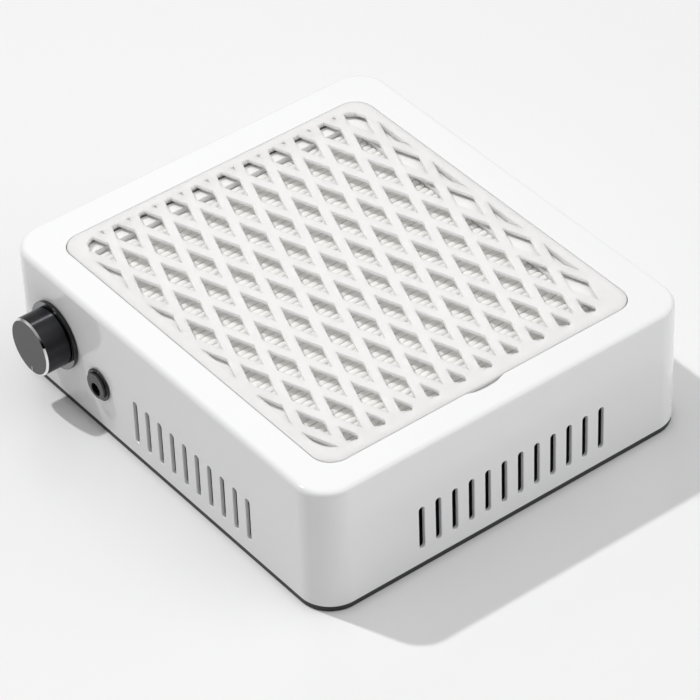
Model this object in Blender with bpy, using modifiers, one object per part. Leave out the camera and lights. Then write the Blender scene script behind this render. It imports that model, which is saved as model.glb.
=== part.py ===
"""A desktop nail dust collector, taken apart piece by piece. Metres, +Z up, standing on the floor.

Hands rest on the lattice cover. The fan under it draws dust down through a pleated filter and blows the
air out of the vents low in the walls. Places are measured from the middle of the casing's footprint, and
the empty that carries everything puts the middle of the whole object, dial included, over the origin.
"""

import math

import bmesh
import bpy
from mathutils import Matrix, Vector

# Clearances and depths that the whole product shares.
FIT = 0.0003
SLIDE_FIT = 0.0004
HOLE_FIT = 0.0003
SINK = 0.0005
OVERRUN = 0.004
WELD = 0.00001

# How finely round things are divided.
CORNER_STEPS = 6
SMALL_CORNER_STEPS = 4
EDGE_STEPS = 3
VENT_STEPS = 3
DROP_STEPS = 5
DIAL_STEPS = 36
INLET_STEPS = 24
WHEEL_STEPS = 32
ROUND_STEPS = 20
SMALL_ROUND_STEPS = 12
FASTENER_STEPS = 8

# Casing: the moulded upper housing.
CASE_WIDTH = 0.210
CASE_DEPTH = 0.236
CASE_HEIGHT = 0.066
CASE_CORNER = 0.0165
CASE_WALL = 0.0022
CASE_INNER_EDGE = 0.0004
FLOOR_GAP = 0.003

# The opening for the cover, a little off the middle, and the notch for a fingertip at its front.
TOP_RIM = 0.017
OPENING_CORNER = 0.0105
OPENING_X = -0.0005
OPENING_Y = -0.001
NOTCH_CHORD = 0.021
NOTCH_SAG = 0.0022
NOTCH_OFFSET = -0.00075

# Vents: rows of upright slots with round ends.
VENT_WIDTH = 0.0031
VENT_HEIGHT = 0.0252
VENT_PITCH = 0.00936
VENT_RISE = 0.0082
FRONT_ROW_MARGIN = 0.0535
FRONT_VENTS_X = 0.0014
SIDE_ROW_START = 0.05408
SIDE_ROW_TO_SOCKET = 0.0273

# Bosses inside the casing, and the screws that go into them.
CORNER_BOSS = 0.005
CORNER_BOSS_INSET = 0.0095
TRAY_BOSS = 0.004
TRAY_BOSS_LENGTH = 0.0145
TRAY_BOSS_GAP = 0.001
TRAY_BOSS_INSET = 0.026
SCREW_SHANK = 0.0014
SCREW_HEAD = 0.0028
SCREW_HEAD_HEIGHT = 0.0012
SCREW_GRIP = 0.009

# Base plate and feet.
BASE_THICKNESS = 0.0025
FOOT_RADIUS = 0.008
FOOT_POCKET = 0.001
FOOT_SIDE_INSET = 0.021
FOOT_END_INSET = 0.026
FOOT_CHAMFER = 0.0006

# Filter tray: a moulded well hanging from a flange, with the fan's inlet in its floor.
TRAY_FLANGE = 0.002
TRAY_LIP = 0.0035
TRAY_LEDGE = 0.0034
TRAY_WALL = 0.002
TRAY_DEPTH = 0.0168
TRAY_CORNER = 0.007
LUG_WIDTH = 0.010
LUG_THICKNESS = 0.002
INLET_RADIUS = 0.0445
INLET_COLLAR = 0.0015
INLET_COLLAR_DROP = 0.0042

# Filter: a moulded frame round pleated paper.
FRAME_SIDE_GAP = 0.0006
FRAME_END_GAP = 0.0026
FRAME_HEAD_GAP = 0.0008
FRAME_SIDE = 0.0115
FRAME_RAIL = 0.0045
FRAME_CORNER = 0.006
FRAME_INNER_CORNER = 0.0006
GRID_BAR = 0.002
GRID_BAR_HEIGHT = 0.0012
GRID_BAR_PITCH = 0.047
PLEAT_PITCH = 0.0036
PLEAT_SPARE = 0.0080
PAPER = 0.0005

# Lattice cover.
COVER_CROWN = 0.0007
COVER_BAND = 0.005
COVER_SKIN = 0.0018
CROWN_STEPS = 3
COVER_BORDER = 0.006
FIELD_CORNER = 0.013
CELL_WIDTH = 0.015
CELL_DEPTH = 0.0405
HOLE_WIDTH = 0.0101
HOLE_DEPTH = 0.0274
WEB_SHIFT = 0.0032
DROP_RADIUS = 0.003
DROP_LENGTH = 0.01225
SMALLEST_HOLE = 0.0015

# Fan: a shrouded centrifugal wheel, its hub cupped over the motor.
WHEEL_RADIUS = 0.070
WHEEL_BOTTOM = 0.016
WHEEL_PLATE = 0.002
WHEEL_HEAD_GAP = 0.0077
HUB_RADIUS = 0.029
HUB_WALL = 0.0015
HUB_FILLET = 0.004
EYE_GAP = 0.002
EYE_WALL = 0.0015
EYE_RISE = 0.003
BLADES = 12
BLADE_THICKNESS = 0.0016
BLADE_INSET = 0.001
BLADE_TIP_INSET = 0.0008
BLADE_SWEEP_ANGLE = math.radians(-38)
BLADE_STEPS = 5

# Motor, its shaft and its rubber mounting.
MOTOR_HEAD_GAP = 0.0016
MOTOR_SIDE_GAP = 0.0015
MOTOR_CHAMFER = 0.001
SHAFT_RADIUS = 0.0025
SHAFT_RISE = 0.0028
SHAFT_SEAT = 0.0015
NUT_HEIGHT = 0.0022
NUT_RADIUS = 0.0046
MOUNT_PLATE = 0.0015
MOUNT_DISC = 0.028
MOUNT_EARS = 4
MOUNT_EAR_RADIUS = 0.0055
MOUNT_EAR_CIRCLE = 0.036
DAMPER_RADIUS = 0.0045
DAMPER_HEIGHT = 0.0025
POST_RADIUS = 0.005
POST_HEIGHT = 0.002
MOTOR_SCREW_CIRCLE = 0.012
MOTOR_SCREW_GRIP = 0.003
LEAD_HOLE = 0.0022
LEAD_HOLE_OUT = 0.020

# Dial: trim ring, potentiometer, nut, shaft and knob, on one axis through the left wall.
DIAL_FROM_BACK = 0.0372
DIAL_FROM_TOP = 0.0326
RING_RADIUS = 0.0172
RING_THICKNESS = 0.0018
RING_CHAMFER = 0.0005
KNOB_RADIUS = 0.0145
KNOB_FRONT = 0.0155
KNOB_CHAMFER = 0.0009
KNOB_RECESS = 0.008
KNOB_RECESS_DEPTH = 0.004
KNOB_BORE_DEPTH = 0.0056
POINTER_WIDTH = 0.0009
POINTER_LENGTH = 0.0029
POINTER_INSET = 0.0021
POINTER_HEIGHT = 0.0006
BUSHING_RADIUS = 0.0035
BUSHING_BORE = 0.0025
BUSHING_PAST_NUT = 0.0004
POT_NUT_HEIGHT = 0.002
POT_NUT_RADIUS = 0.0064
POT_BODY_RADIUS = 0.008
POT_BODY_DEPTH = 0.008
POT_SHAFT_RADIUS = 0.003

# Control board behind the potentiometer.
BOARD_THICKNESS = 0.0016
BOARD_BEFORE_DIAL = 0.0188
BOARD_LENGTH = 0.039
BOARD_BELOW_DIAL = 0.0144
BOARD_HEIGHT = 0.028
PARTS_ABOVE_DIAL = 0.0056
CAPACITOR_RADIUS = 0.004
CAPACITOR_LENGTH = 0.012
CAPACITOR_BEHIND_DIAL = 0.0122
DRIVER_SIZE = (0.0045, 0.010, 0.009)
DRIVER_BEFORE_DIAL = 0.0018
CONNECTOR_SIZE = (0.0085, 0.012, 0.010)
CONNECTOR_BEFORE_DIAL = 0.0108
CONNECTOR_ABOVE_SOCKET = 0.0017

# Power inlet.
SOCKET_BEFORE_DIAL = 0.0332
SOCKET_BELOW_DIAL = 0.0085
SOCKET_FLANGE = 0.0081
SOCKET_RIM = 0.0021
SOCKET_RIM_ROUND = 0.0006
SOCKET_DISH = 0.0062
SOCKET_DISH_DEPTH = 0.0006
SOCKET_NOSE = 0.0047
SOCKET_NOSE_RISE = 0.0038
SOCKET_BORE = 0.0033
SOCKET_THREAD = 0.0055
SOCKET_THREAD_LENGTH = 0.011
SOCKET_BACK = 0.005
SOCKET_BACK_LENGTH = 0.004
SOCKET_BACK_WALL = 0.002
SOCKET_NUT_HEIGHT = 0.0025
SOCKET_NUT_RADIUS = 0.0078
PIN_RADIUS = 0.001
PIN_SETBACK = 0.0046
PIN_TAIL = 0.0025

# Inner wiring.
LEAD_RADIUS = 0.0009
LEAD_RISE = 0.0034
MOTOR_LEAD_RADIUS = 0.0015
MOTOR_LEAD_HEIGHT = 0.0080
LEAD_STEPS = 3
LEAD_SIDES = 2

# Finishes: colour, roughness and metallic value.
WHITE_CASE = ((0.86, 0.86, 0.86), 0.35, 0.0)
WHITE_COVER = ((0.87, 0.86, 0.85), 0.38, 0.0)
WHITE_MOULDING = ((0.78, 0.78, 0.77), 0.5, 0.0)
WHITE_PAPER = ((0.80, 0.80, 0.78), 0.9, 0.0)
WHITE_MARK = ((0.85, 0.85, 0.85), 0.5, 0.0)
DARK_METAL = ((0.10, 0.10, 0.105), 0.3, 0.9)
BLACK_GLOSS = ((0.015, 0.015, 0.016), 0.15, 0.0)
BLACK_MATT = ((0.03, 0.03, 0.03), 0.6, 0.0)
BLACK_RUBBER = ((0.02, 0.02, 0.02), 0.9, 0.0)
BRIGHT_STEEL = ((0.62, 0.62, 0.63), 0.25, 1.0)
ZINC_STEEL = ((0.55, 0.56, 0.58), 0.4, 1.0)
BRASS = ((0.72, 0.55, 0.25), 0.3, 1.0)
GREEN_BOARD = ((0.03, 0.17, 0.08), 0.5, 0.0)
RED_LEAD = ((0.55, 0.02, 0.02), 0.5, 0.0)

# Heights above the floor that several pieces share.
CASE_TOP = FLOOR_GAP + CASE_HEIGHT
RIM_UNDERSIDE = CASE_TOP - CASE_WALL
CASE_EDGE = CASE_WALL + CASE_INNER_EDGE
BASE_TOP = FLOOR_GAP + BASE_THICKNESS
TRAY_TOP = RIM_UNDERSIDE - FIT
TRAY_FLOOR = TRAY_TOP - TRAY_DEPTH
TRAY_BOTTOM = TRAY_FLOOR - TRAY_WALL
INLET_BOTTOM = TRAY_BOTTOM - INLET_COLLAR_DROP
LUG_TOP = RIM_UNDERSIDE - TRAY_BOSS_LENGTH - FIT
LUG_BOTTOM = LUG_TOP - LUG_THICKNESS
FRAME_BOTTOM = TRAY_FLOOR + FIT
FRAME_HEIGHT = TRAY_DEPTH - FRAME_HEAD_GAP
FRAME_TOP = FRAME_BOTTOM + FRAME_HEIGHT
PLEAT_DEPTH = FRAME_HEIGHT - PLEAT_SPARE
COVER_BOTTOM = TRAY_TOP + FIT
COVER_TOP = CASE_TOP + COVER_CROWN
POST_TOP = BASE_TOP + POST_HEIGHT
DAMPER_BOTTOM = POST_TOP + FIT
DAMPER_TOP = DAMPER_BOTTOM + DAMPER_HEIGHT
MOUNT_BOTTOM = DAMPER_TOP + FIT
MOUNT_TOP = MOUNT_BOTTOM + MOUNT_PLATE
MOTOR_BOTTOM = MOUNT_TOP + FIT
WHEEL_PLATE_TOP = WHEEL_BOTTOM + WHEEL_PLATE
WHEEL_TOP = TRAY_BOTTOM - WHEEL_HEAD_GAP
SHROUD_BOTTOM = WHEEL_TOP - WHEEL_PLATE
MOTOR_TOP = SHROUD_BOTTOM - MOTOR_HEAD_GAP
SHAFT_TOP = WHEEL_TOP + SHAFT_RISE
DIAL_Z = CASE_TOP - DIAL_FROM_TOP
SOCKET_Z = DIAL_Z - SOCKET_BELOW_DIAL
BOARD_BOTTOM = DIAL_Z - BOARD_BELOW_DIAL
PARTS_Z = DIAL_Z + PARTS_ABOVE_DIAL
CONNECTOR_Z = SOCKET_Z + CONNECTOR_ABOVE_SOCKET

# Sizes in plan that several pieces share.
OPENING_WIDTH = CASE_WIDTH - 2 * TOP_RIM
OPENING_DEPTH = CASE_DEPTH - 2 * TOP_RIM
BOSS_X = CASE_WIDTH / 2 - CORNER_BOSS_INSET
BOSS_Y = CASE_DEPTH / 2 - CORNER_BOSS_INSET
FLANGE_WIDTH = OPENING_WIDTH + 2 * TRAY_LIP
FLANGE_DEPTH = OPENING_DEPTH + 2 * TRAY_LIP
WELL_WIDTH = OPENING_WIDTH - 2 * TRAY_LEDGE
WELL_DEPTH = OPENING_DEPTH - 2 * TRAY_LEDGE
FRAME_WIDTH = WELL_WIDTH - 2 * FRAME_SIDE_GAP
FRAME_DEPTH = WELL_DEPTH - 2 * FRAME_END_GAP
TRAY_BOSS_X = OPENING_WIDTH / 2 - TRAY_BOSS_INSET
TRAY_BOSS_Y = FLANGE_DEPTH / 2 + TRAY_BOSS_GAP + TRAY_BOSS
COVER_WIDTH = OPENING_WIDTH - 2 * SLIDE_FIT
COVER_DEPTH = OPENING_DEPTH - 2 * SLIDE_FIT
COVER_CORNER = OPENING_CORNER - SLIDE_FIT
FIELD_WIDTH = OPENING_WIDTH - 2 * COVER_BORDER
FIELD_DEPTH = OPENING_DEPTH - 2 * COVER_BORDER
FIRST_ROW_Y = DROP_LENGTH + (CELL_DEPTH - HOLE_DEPTH - FIELD_DEPTH) / 2
ROWS = 1 + int((FIELD_DEPTH / 2 - FIRST_ROW_Y) / CELL_DEPTH)
COLUMNS = int(FIELD_WIDTH / 2 / CELL_WIDTH)
FOOT_X = CASE_WIDTH / 2 - FOOT_SIDE_INSET
FOOT_Y = CASE_DEPTH / 2 - FOOT_END_INSET
EYE_RADIUS = INLET_RADIUS + INLET_COLLAR + EYE_GAP
BLADE_INNER = INLET_RADIUS + BLADE_INSET
HUB_INNER = HUB_RADIUS - HUB_WALL
MOTOR_RADIUS = HUB_INNER - MOTOR_SIDE_GAP
SCREW_HOLE = SCREW_SHANK + HOLE_FIT
DIAL_Y = CASE_DEPTH / 2 - DIAL_FROM_BACK
SOCKET_Y = DIAL_Y - SOCKET_BEFORE_DIAL
BOARD_FRONT = DIAL_Y - BOARD_BEFORE_DIAL
CAPACITOR_Y = DIAL_Y + CAPACITOR_BEHIND_DIAL
DRIVER_Y = DIAL_Y - DRIVER_BEFORE_DIAL
CONNECTOR_Y = DIAL_Y - CONNECTOR_BEFORE_DIAL
FRONT_VENTS = 1 + round((CASE_WIDTH - 2 * FRONT_ROW_MARGIN) / VENT_PITCH)
SIDE_ROW_Y = SIDE_ROW_START - CASE_DEPTH / 2
SIDE_VENTS = 1 + round((SOCKET_Y - SIDE_ROW_TO_SOCKET - SIDE_ROW_Y) / VENT_PITCH)
SIDE_VENTS_Y = SIDE_ROW_Y + (SIDE_VENTS - 1) * VENT_PITCH / 2

# Distances out from the left wall's face along the dial's axis and the socket's.
RING_BACK = FIT
RING_FACE = RING_BACK + RING_THICKNESS
POT_NUT_BACK = RING_FACE + FIT
POT_NUT_FACE = POT_NUT_BACK + POT_NUT_HEIGHT
BUSHING_FRONT = POT_NUT_FACE + BUSHING_PAST_NUT
POT_FRONT = -CASE_WALL - FIT
POT_BACK = POT_FRONT - POT_BODY_DEPTH
BOARD_OUTSIDE = POT_BACK - FIT
BOARD_INSIDE = BOARD_OUTSIDE - BOARD_THICKNESS
KNOB_BACK = RING_FACE + FIT
KNOB_SHOULDER = KNOB_BACK + KNOB_RECESS_DEPTH
KNOB_BORE_END = KNOB_SHOULDER + KNOB_BORE_DEPTH
SOCKET_THREAD_END = -SOCKET_THREAD_LENGTH
SOCKET_END = SOCKET_THREAD_END - SOCKET_BACK_LENGTH
PIN_TIP = SOCKET_NOSE_RISE - PIN_SETBACK
PIN_END = SOCKET_END - PIN_TAIL


# Collections, carriers and finishes.


def cleared_scene():
    for old in list(bpy.data.objects):
        bpy.data.objects.remove(old, do_unlink=True)


def new_collection(name):
    made = bpy.data.collections.new(name)
    bpy.context.scene.collection.children.link(made)
    return made


def carrier(name, place, parent=None):
    """An empty that pieces hang on."""
    empty = bpy.data.objects.new(name, None)
    empty.location = place
    empty.parent = parent
    empty.empty_display_size = CASE_HEIGHT
    PARTS.objects.link(empty)
    return empty


def finish(name, look):
    colour, roughness, metallic = look
    material = bpy.data.materials.new(name)
    material.use_nodes = True
    shader = material.node_tree.nodes["Principled BSDF"]
    shader.inputs["Base Color"].default_value = (*colour, 1.0)
    shader.inputs["Roughness"].default_value = roughness
    shader.inputs["Metallic"].default_value = metallic
    material.diffuse_color = (*colour, 1.0)
    return material


def piece(obj, parent, look):
    """Files a finished piece with the product, under its carrier, in its own finish."""
    PARTS.objects.link(obj)
    obj.parent = parent
    obj.data.materials.clear()
    obj.data.materials.append(finish(obj.name, look))
    obj.data.shade_smooth()
    obj.data.set_sharp_from_angle(angle=math.radians(35))
    return obj


def tool(obj, parent):
    """Files a cutter or an added body, which is seen only as wire."""
    TOOLS.objects.link(obj)
    obj.parent = parent
    obj.hide_render = True
    obj.display_type = "WIRE"
    return obj


def combine(target, other, operation):
    step = target.modifiers.new(f"{operation.lower()}_{other.name}", "BOOLEAN")
    step.operation = operation
    step.solver = "EXACT"
    step.object = other


def cut(target, cutter):
    combine(target, tool(cutter, target.parent), "DIFFERENCE")


def join(target, added):
    combine(target, tool(added, target.parent), "UNION")


# Outlines, all running anticlockwise.


def arc(centre, radius, start, end, steps):
    """Points on a circle about centre, at even angles from start to end."""
    x, y = centre
    angles = [start + (end - start) * step / steps for step in range(steps + 1)]
    return [(x + radius * math.cos(a), y + radius * math.sin(a)) for a in angles]


def circle(radius, steps, centre=(0, 0)):
    return arc(centre, radius, 0, 2 * math.pi, steps)[:-1]


def rounded(width, depth, corner, steps=CORNER_STEPS):
    """A rectangle about the origin with round corners."""
    points = []
    for turn, (right, back) in enumerate(((1, 1), (-1, 1), (-1, -1), (1, -1))):
        centre = (right * (width / 2 - corner), back * (depth / 2 - corner))
        start = turn * math.pi / 2
        points += arc(centre, corner, start, start + math.pi / 2, steps)
    return points


def upright_slot(width, height, centre, steps):
    """A slot with round ends, about a centre."""
    x, y = centre
    reach = (height - width) / 2
    top = arc((x, y + reach), width / 2, 0, math.pi, steps)
    bottom = arc((x, y - reach), width / 2, math.pi, 2 * math.pi, steps)
    return top + bottom


def moved(points, x, y):
    return [(a + x, b + y) for a, b in points]


# Solids.


def as_mesh(guide):
    """A curve's solid as a mesh with its caps welded on. The curve itself goes."""
    TOOLS.objects.link(guide)
    bpy.context.view_layer.update()
    graph = bpy.context.evaluated_depsgraph_get()
    mesh = bpy.data.meshes.new_from_object(guide.evaluated_get(graph))
    shape = bmesh.new()
    shape.from_mesh(mesh)
    bmesh.ops.remove_doubles(shape, verts=shape.verts, dist=WELD)
    bmesh.ops.recalc_face_normals(shape, faces=shape.faces)
    shape.to_mesh(mesh)
    shape.free()
    name = guide.name
    solid = bpy.data.objects.new(f"{name}_solid", mesh)
    solid.matrix_world = guide.matrix_world
    bpy.data.objects.remove(guide)
    solid.name = name
    mesh.name = name
    return solid


def plate(name, outlines, bottom, top, place=(0, 0)):
    """A flat body between two heights. The first outline is its edge; the rest are holes or more edges."""
    curve = bpy.data.curves.new(name, "CURVE")
    curve.dimensions = "2D"
    curve.fill_mode = "BOTH"
    curve.extrude = (top - bottom) / 2
    for outline in outlines:
        spline = curve.splines.new("POLY")
        spline.points.add(len(outline) - 1)
        for point, (x, y) in zip(spline.points, outline):
            point.co = (x, y, 0, 1)
        spline.use_cyclic_u = True
    guide = bpy.data.objects.new(name, curve)
    guide.location = (place[0], place[1], (bottom + top) / 2)
    return as_mesh(guide)


def turned(name, profile, steps, place=(0, 0, 0)):
    """A profile of radius and height spun about Z. One that stays off the axis closes on itself."""
    mesh = bpy.data.meshes.new(name)
    points = [(radius, 0, height) for radius, height in profile]
    edges = [(index, index + 1) for index in range(len(points) - 1)]
    if profile[0][0] > 0:
        edges.append((len(points) - 1, 0))
    mesh.from_pydata(points, edges, [])
    solid = bpy.data.objects.new(name, mesh)
    spin = solid.modifiers.new("spin", "SCREW")
    spin.axis = "Z"
    spin.angle = 2 * math.pi
    spin.steps = steps
    spin.render_steps = steps
    spin.use_merge_vertices = True
    spin.merge_threshold = WELD
    solid.location = place
    return solid


def block(name, size, centre):
    shape = bmesh.new()
    bmesh.ops.create_cube(shape, size=1, matrix=Matrix.Diagonal((*size, 1)))
    mesh = bpy.data.meshes.new(name)
    shape.to_mesh(mesh)
    shape.free()
    solid = bpy.data.objects.new(name, mesh)
    solid.location = centre
    return solid


def loft(name, sections):
    """A closed body through sections of equal point counts, each an outline and its height."""
    shape = bmesh.new()
    rings = []
    for outline, height in sections:
        rings.append([shape.verts.new((x, y, height)) for x, y in outline])
    for lower, upper in zip(rings, rings[1:]):
        count = len(lower)
        for here in range(count):
            there = (here + 1) % count
            shape.faces.new((lower[here], lower[there], upper[there], upper[here]))
    shape.faces.new(reversed(rings[0]))
    shape.faces.new(rings[-1])
    mesh = bpy.data.meshes.new(name)
    shape.to_mesh(mesh)
    shape.free()
    return bpy.data.objects.new(name, mesh)


def on_left_wall(solid, y, z):
    """Turns a solid so that its +Z points out of the left wall, from the wall's outer face."""
    solid.location = (-CASE_WIDTH / 2, y, z)
    solid.rotation_euler = (0, -math.pi / 2, 0)
    return solid


def screw(name, place, shank, head=SCREW_HEAD, shank_radius=SCREW_SHANK, upward=True):
    """A pan head screw. Its head's seat is at place, and the shank points up or down from it."""
    profile = [
        (0, shank),
        (shank_radius, shank),
        (shank_radius, 0),
        (head, 0),
        (head - SCREW_HEAD_HEIGHT / 3, -SCREW_HEAD_HEIGHT),
        (0, -SCREW_HEAD_HEIGHT),
    ]
    made = turned(name, profile, FASTENER_STEPS, place)
    if not upward:
        made.rotation_euler = (math.pi, 0, 0)
    return made


def hexagon_nut(name, radius, bore, bottom, top):
    return plate(name, [circle(radius, 6), circle(bore, SMALL_ROUND_STEPS)], bottom, top)


def smooth_path(route, steps):
    """Points on a Catmull-Rom curve through the route. Its first and last runs stay straight."""
    lead_in = (route[1] - route[0]).normalized() * (route[2] - route[1]).length
    lead_out = (route[-1] - route[-2]).normalized() * (route[-2] - route[-3]).length
    knots = [route[2] - 2 * lead_in, *route[1:-1], route[-3] + 2 * lead_out]
    points = [route[0]]
    for before, here, there, after in zip(knots, knots[1:], knots[2:], knots[3:]):
        for step in range(steps):
            t = step / steps
            ahead = (there - before) / 2
            bend = before - here * 5 / 2 + there * 2 - after / 2
            twist = (after - before) / 2 + (here - there) * 3 / 2
            points.append(here + ahead * t + bend * t**2 + twist * t**3)
    return [*points, route[-2], route[-1]]


def lead(name, route, radius):
    """An insulated wire along a smooth path."""
    curve = bpy.data.curves.new(name, "CURVE")
    curve.dimensions = "3D"
    curve.bevel_depth = radius
    curve.bevel_resolution = LEAD_SIDES
    curve.use_fill_caps = True
    points = smooth_path([Vector(point) for point in route], LEAD_STEPS)
    spline = curve.splines.new("POLY")
    spline.points.add(len(points) - 1)
    for target, point in zip(spline.points, points):
        target.co = (*point, 1)
    return as_mesh(bpy.data.objects.new(name, curve))


# Casing.


def upper_housing(parent):
    """An open box with round corners, given its wall inwards, then opened, vented and bossed."""
    shape = bmesh.new()
    bmesh.ops.create_cube(
        shape, size=1, matrix=Matrix.Diagonal((CASE_WIDTH, CASE_DEPTH, CASE_HEIGHT, 1))
    )
    floor = [face for face in shape.faces if face.normal.z < -0.5]
    bmesh.ops.delete(shape, geom=floor, context="FACES")
    uprights = [
        edge for edge in shape.edges if edge.verts[0].co.xy == edge.verts[1].co.xy
    ]
    bmesh.ops.bevel(
        shape, geom=uprights, offset=CASE_CORNER, segments=CORNER_STEPS, profile=0.5, affect="EDGES"
    )
    mesh = bpy.data.meshes.new("upper_housing")
    shape.to_mesh(mesh)
    shape.free()
    housing = bpy.data.objects.new("upper_housing", mesh)
    housing.location.z = FLOOR_GAP + CASE_HEIGHT / 2
    piece(housing, parent, WHITE_CASE)

    rim = housing.modifiers.new("top_edge", "BEVEL")
    rim.width = CASE_EDGE
    rim.segments = EDGE_STEPS
    rim.limit_method = "ANGLE"
    rim.angle_limit = math.radians(60)
    wall = housing.modifiers.new("wall", "SOLIDIFY")
    wall.thickness = CASE_WALL
    wall.offset = -1
    wall.use_even_offset = True

    join(housing, corner_bosses())
    join(housing, tray_bosses())
    cut(housing, boss_holes())
    cut(housing, cover_opening())
    cut(housing, front_vents())
    cut(housing, side_vents())
    cut(housing, wall_hole("socket_hole", SOCKET_THREAD + HOLE_FIT, SOCKET_Y, SOCKET_Z))
    cut(housing, wall_hole("dial_hole", BUSHING_RADIUS + HOLE_FIT, DIAL_Y, DIAL_Z))
    return housing


def boss_places():
    return [(x, y) for x in (-BOSS_X, BOSS_X) for y in (-BOSS_Y, BOSS_Y)]


def tray_boss_places():
    reach = [(x, y) for x in (-TRAY_BOSS_X, TRAY_BOSS_X) for y in (-TRAY_BOSS_Y, TRAY_BOSS_Y)]
    return moved(reach, OPENING_X, OPENING_Y)


def corner_bosses():
    rounds = [circle(CORNER_BOSS, SMALL_ROUND_STEPS, place) for place in boss_places()]
    return plate("corner_bosses", rounds, BASE_TOP + FIT, RIM_UNDERSIDE + SINK)


def tray_bosses():
    rounds = [circle(TRAY_BOSS, SMALL_ROUND_STEPS, place) for place in tray_boss_places()]
    return plate("tray_bosses", rounds, LUG_TOP + FIT, RIM_UNDERSIDE + SINK)


def boss_holes():
    """Screw holes in both sets of bosses, which stop under the top plate."""
    places = boss_places() + tray_boss_places()
    rounds = [circle(SCREW_HOLE, FASTENER_STEPS, place) for place in places]
    return plate("boss_holes", rounds, FLOOR_GAP, RIM_UNDERSIDE - SINK)


def cover_opening():
    """The rounded opening, with a shallow crescent bitten out of its front edge."""
    edge = rounded(OPENING_WIDTH, OPENING_DEPTH, OPENING_CORNER)
    radius = (NOTCH_CHORD**2 / 4 + NOTCH_SAG**2) / (2 * NOTCH_SAG)
    half_angle = math.asin(NOTCH_CHORD / 2 / radius)
    centre = (NOTCH_OFFSET, -OPENING_DEPTH / 2 - NOTCH_SAG + radius)
    low = 3 * math.pi / 2
    notch = arc(centre, radius, low - half_angle, low + half_angle, CORNER_STEPS)
    front_right = 3 * (CORNER_STEPS + 1)
    outline = edge[:front_right] + notch + edge[front_right:]
    bottom = RIM_UNDERSIDE - OVERRUN
    return plate("cover_opening", [outline], bottom, CASE_TOP + OVERRUN, (OPENING_X, OPENING_Y))


def vent_row(count):
    first = -(count - 1) * VENT_PITCH / 2
    height = FLOOR_GAP + VENT_RISE + VENT_HEIGHT / 2
    places = [(first + index * VENT_PITCH, height) for index in range(count)]
    return [upright_slot(VENT_WIDTH, VENT_HEIGHT, place, VENT_STEPS) for place in places]


def front_vents():
    """The front row, drawn flat and stood up in the front wall."""
    cutter = plate("front_vents", vent_row(FRONT_VENTS), -OVERRUN, OVERRUN)
    cutter.rotation_euler = (math.pi / 2, 0, 0)
    cutter.location = (FRONT_VENTS_X, -CASE_DEPTH / 2, 0)
    return cutter


def side_vents():
    """One cutter that passes through both side walls, so that their rows match."""
    reach = CASE_WIDTH / 2 + OVERRUN
    cutter = plate("side_vents", vent_row(SIDE_VENTS), -reach, reach)
    cutter.rotation_euler = (math.pi / 2, 0, math.pi / 2)
    cutter.location = (0, SIDE_VENTS_Y, 0)
    return cutter


def wall_hole(name, radius, y, z):
    reach = CASE_WALL + OVERRUN
    return on_left_wall(plate(name, [circle(radius, ROUND_STEPS)], -reach, OVERRUN), y, z)


def base_plate(parent):
    """The flat bottom, with pockets for the feet, sunk screw holes and the motor's posts."""
    width = CASE_WIDTH - 2 * CASE_WALL - 2 * FIT
    depth = CASE_DEPTH - 2 * CASE_WALL - 2 * FIT
    corner = CASE_CORNER - CASE_WALL - FIT
    base = plate("base_plate", [rounded(width, depth, corner)], FLOOR_GAP, BASE_TOP)
    piece(base, parent, BLACK_MATT)

    posts = [circle(POST_RADIUS, SMALL_ROUND_STEPS, place) for place in ear_places()]
    join(base, plate("posts", posts, BASE_TOP - SINK, POST_TOP, (OPENING_X, OPENING_Y)))
    post_holes = [circle(SCREW_HOLE, FASTENER_STEPS, place) for place in ear_places()]
    hole_bottom = BASE_TOP + FIT
    cut(base, plate("post_holes", post_holes, hole_bottom, POST_TOP + OVERRUN, (OPENING_X, OPENING_Y)))

    pockets = [circle(FOOT_RADIUS + FIT, ROUND_STEPS, place) for place in foot_places().values()]
    cut(base, plate("foot_pockets", pockets, FLOOR_GAP - OVERRUN, FLOOR_GAP + FOOT_POCKET))
    sunk = [circle(SCREW_HEAD + FIT, FASTENER_STEPS, place) for place in boss_places()]
    cut(base, plate("sunk_heads", sunk, FLOOR_GAP - OVERRUN, FLOOR_GAP + SCREW_HEAD_HEIGHT + FIT))
    through = [circle(SCREW_HOLE, FASTENER_STEPS, place) for place in boss_places()]
    cut(base, plate("base_holes", through, FLOOR_GAP - OVERRUN, BASE_TOP + OVERRUN))
    return base


def foot_places():
    return {
        "foot_front_left": (-FOOT_X, -FOOT_Y),
        "foot_front_right": (FOOT_X, -FOOT_Y),
        "foot_back_left": (-FOOT_X, FOOT_Y),
        "foot_back_right": (FOOT_X, FOOT_Y),
    }


def feet(parent):
    """Rubber discs, chamfered where they meet the floor."""
    top = FLOOR_GAP + FOOT_POCKET - FIT
    tread = FOOT_RADIUS - FOOT_CHAMFER
    profile = [(0, top), (FOOT_RADIUS, top), (FOOT_RADIUS, FOOT_CHAMFER), (tread, 0), (0, 0)]
    for name, (x, y) in foot_places().items():
        piece(turned(name, profile, ROUND_STEPS, (x, y, 0)), parent, BLACK_RUBBER)


def base_screws(parent):
    seat = FLOOR_GAP + SCREW_HEAD_HEIGHT
    for number, (x, y) in enumerate(boss_places(), 1):
        piece(screw(f"base_screw_{number}", (x, y, seat), SCREW_GRIP), parent, ZINC_STEEL)


# Filter tray and filter.


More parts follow.
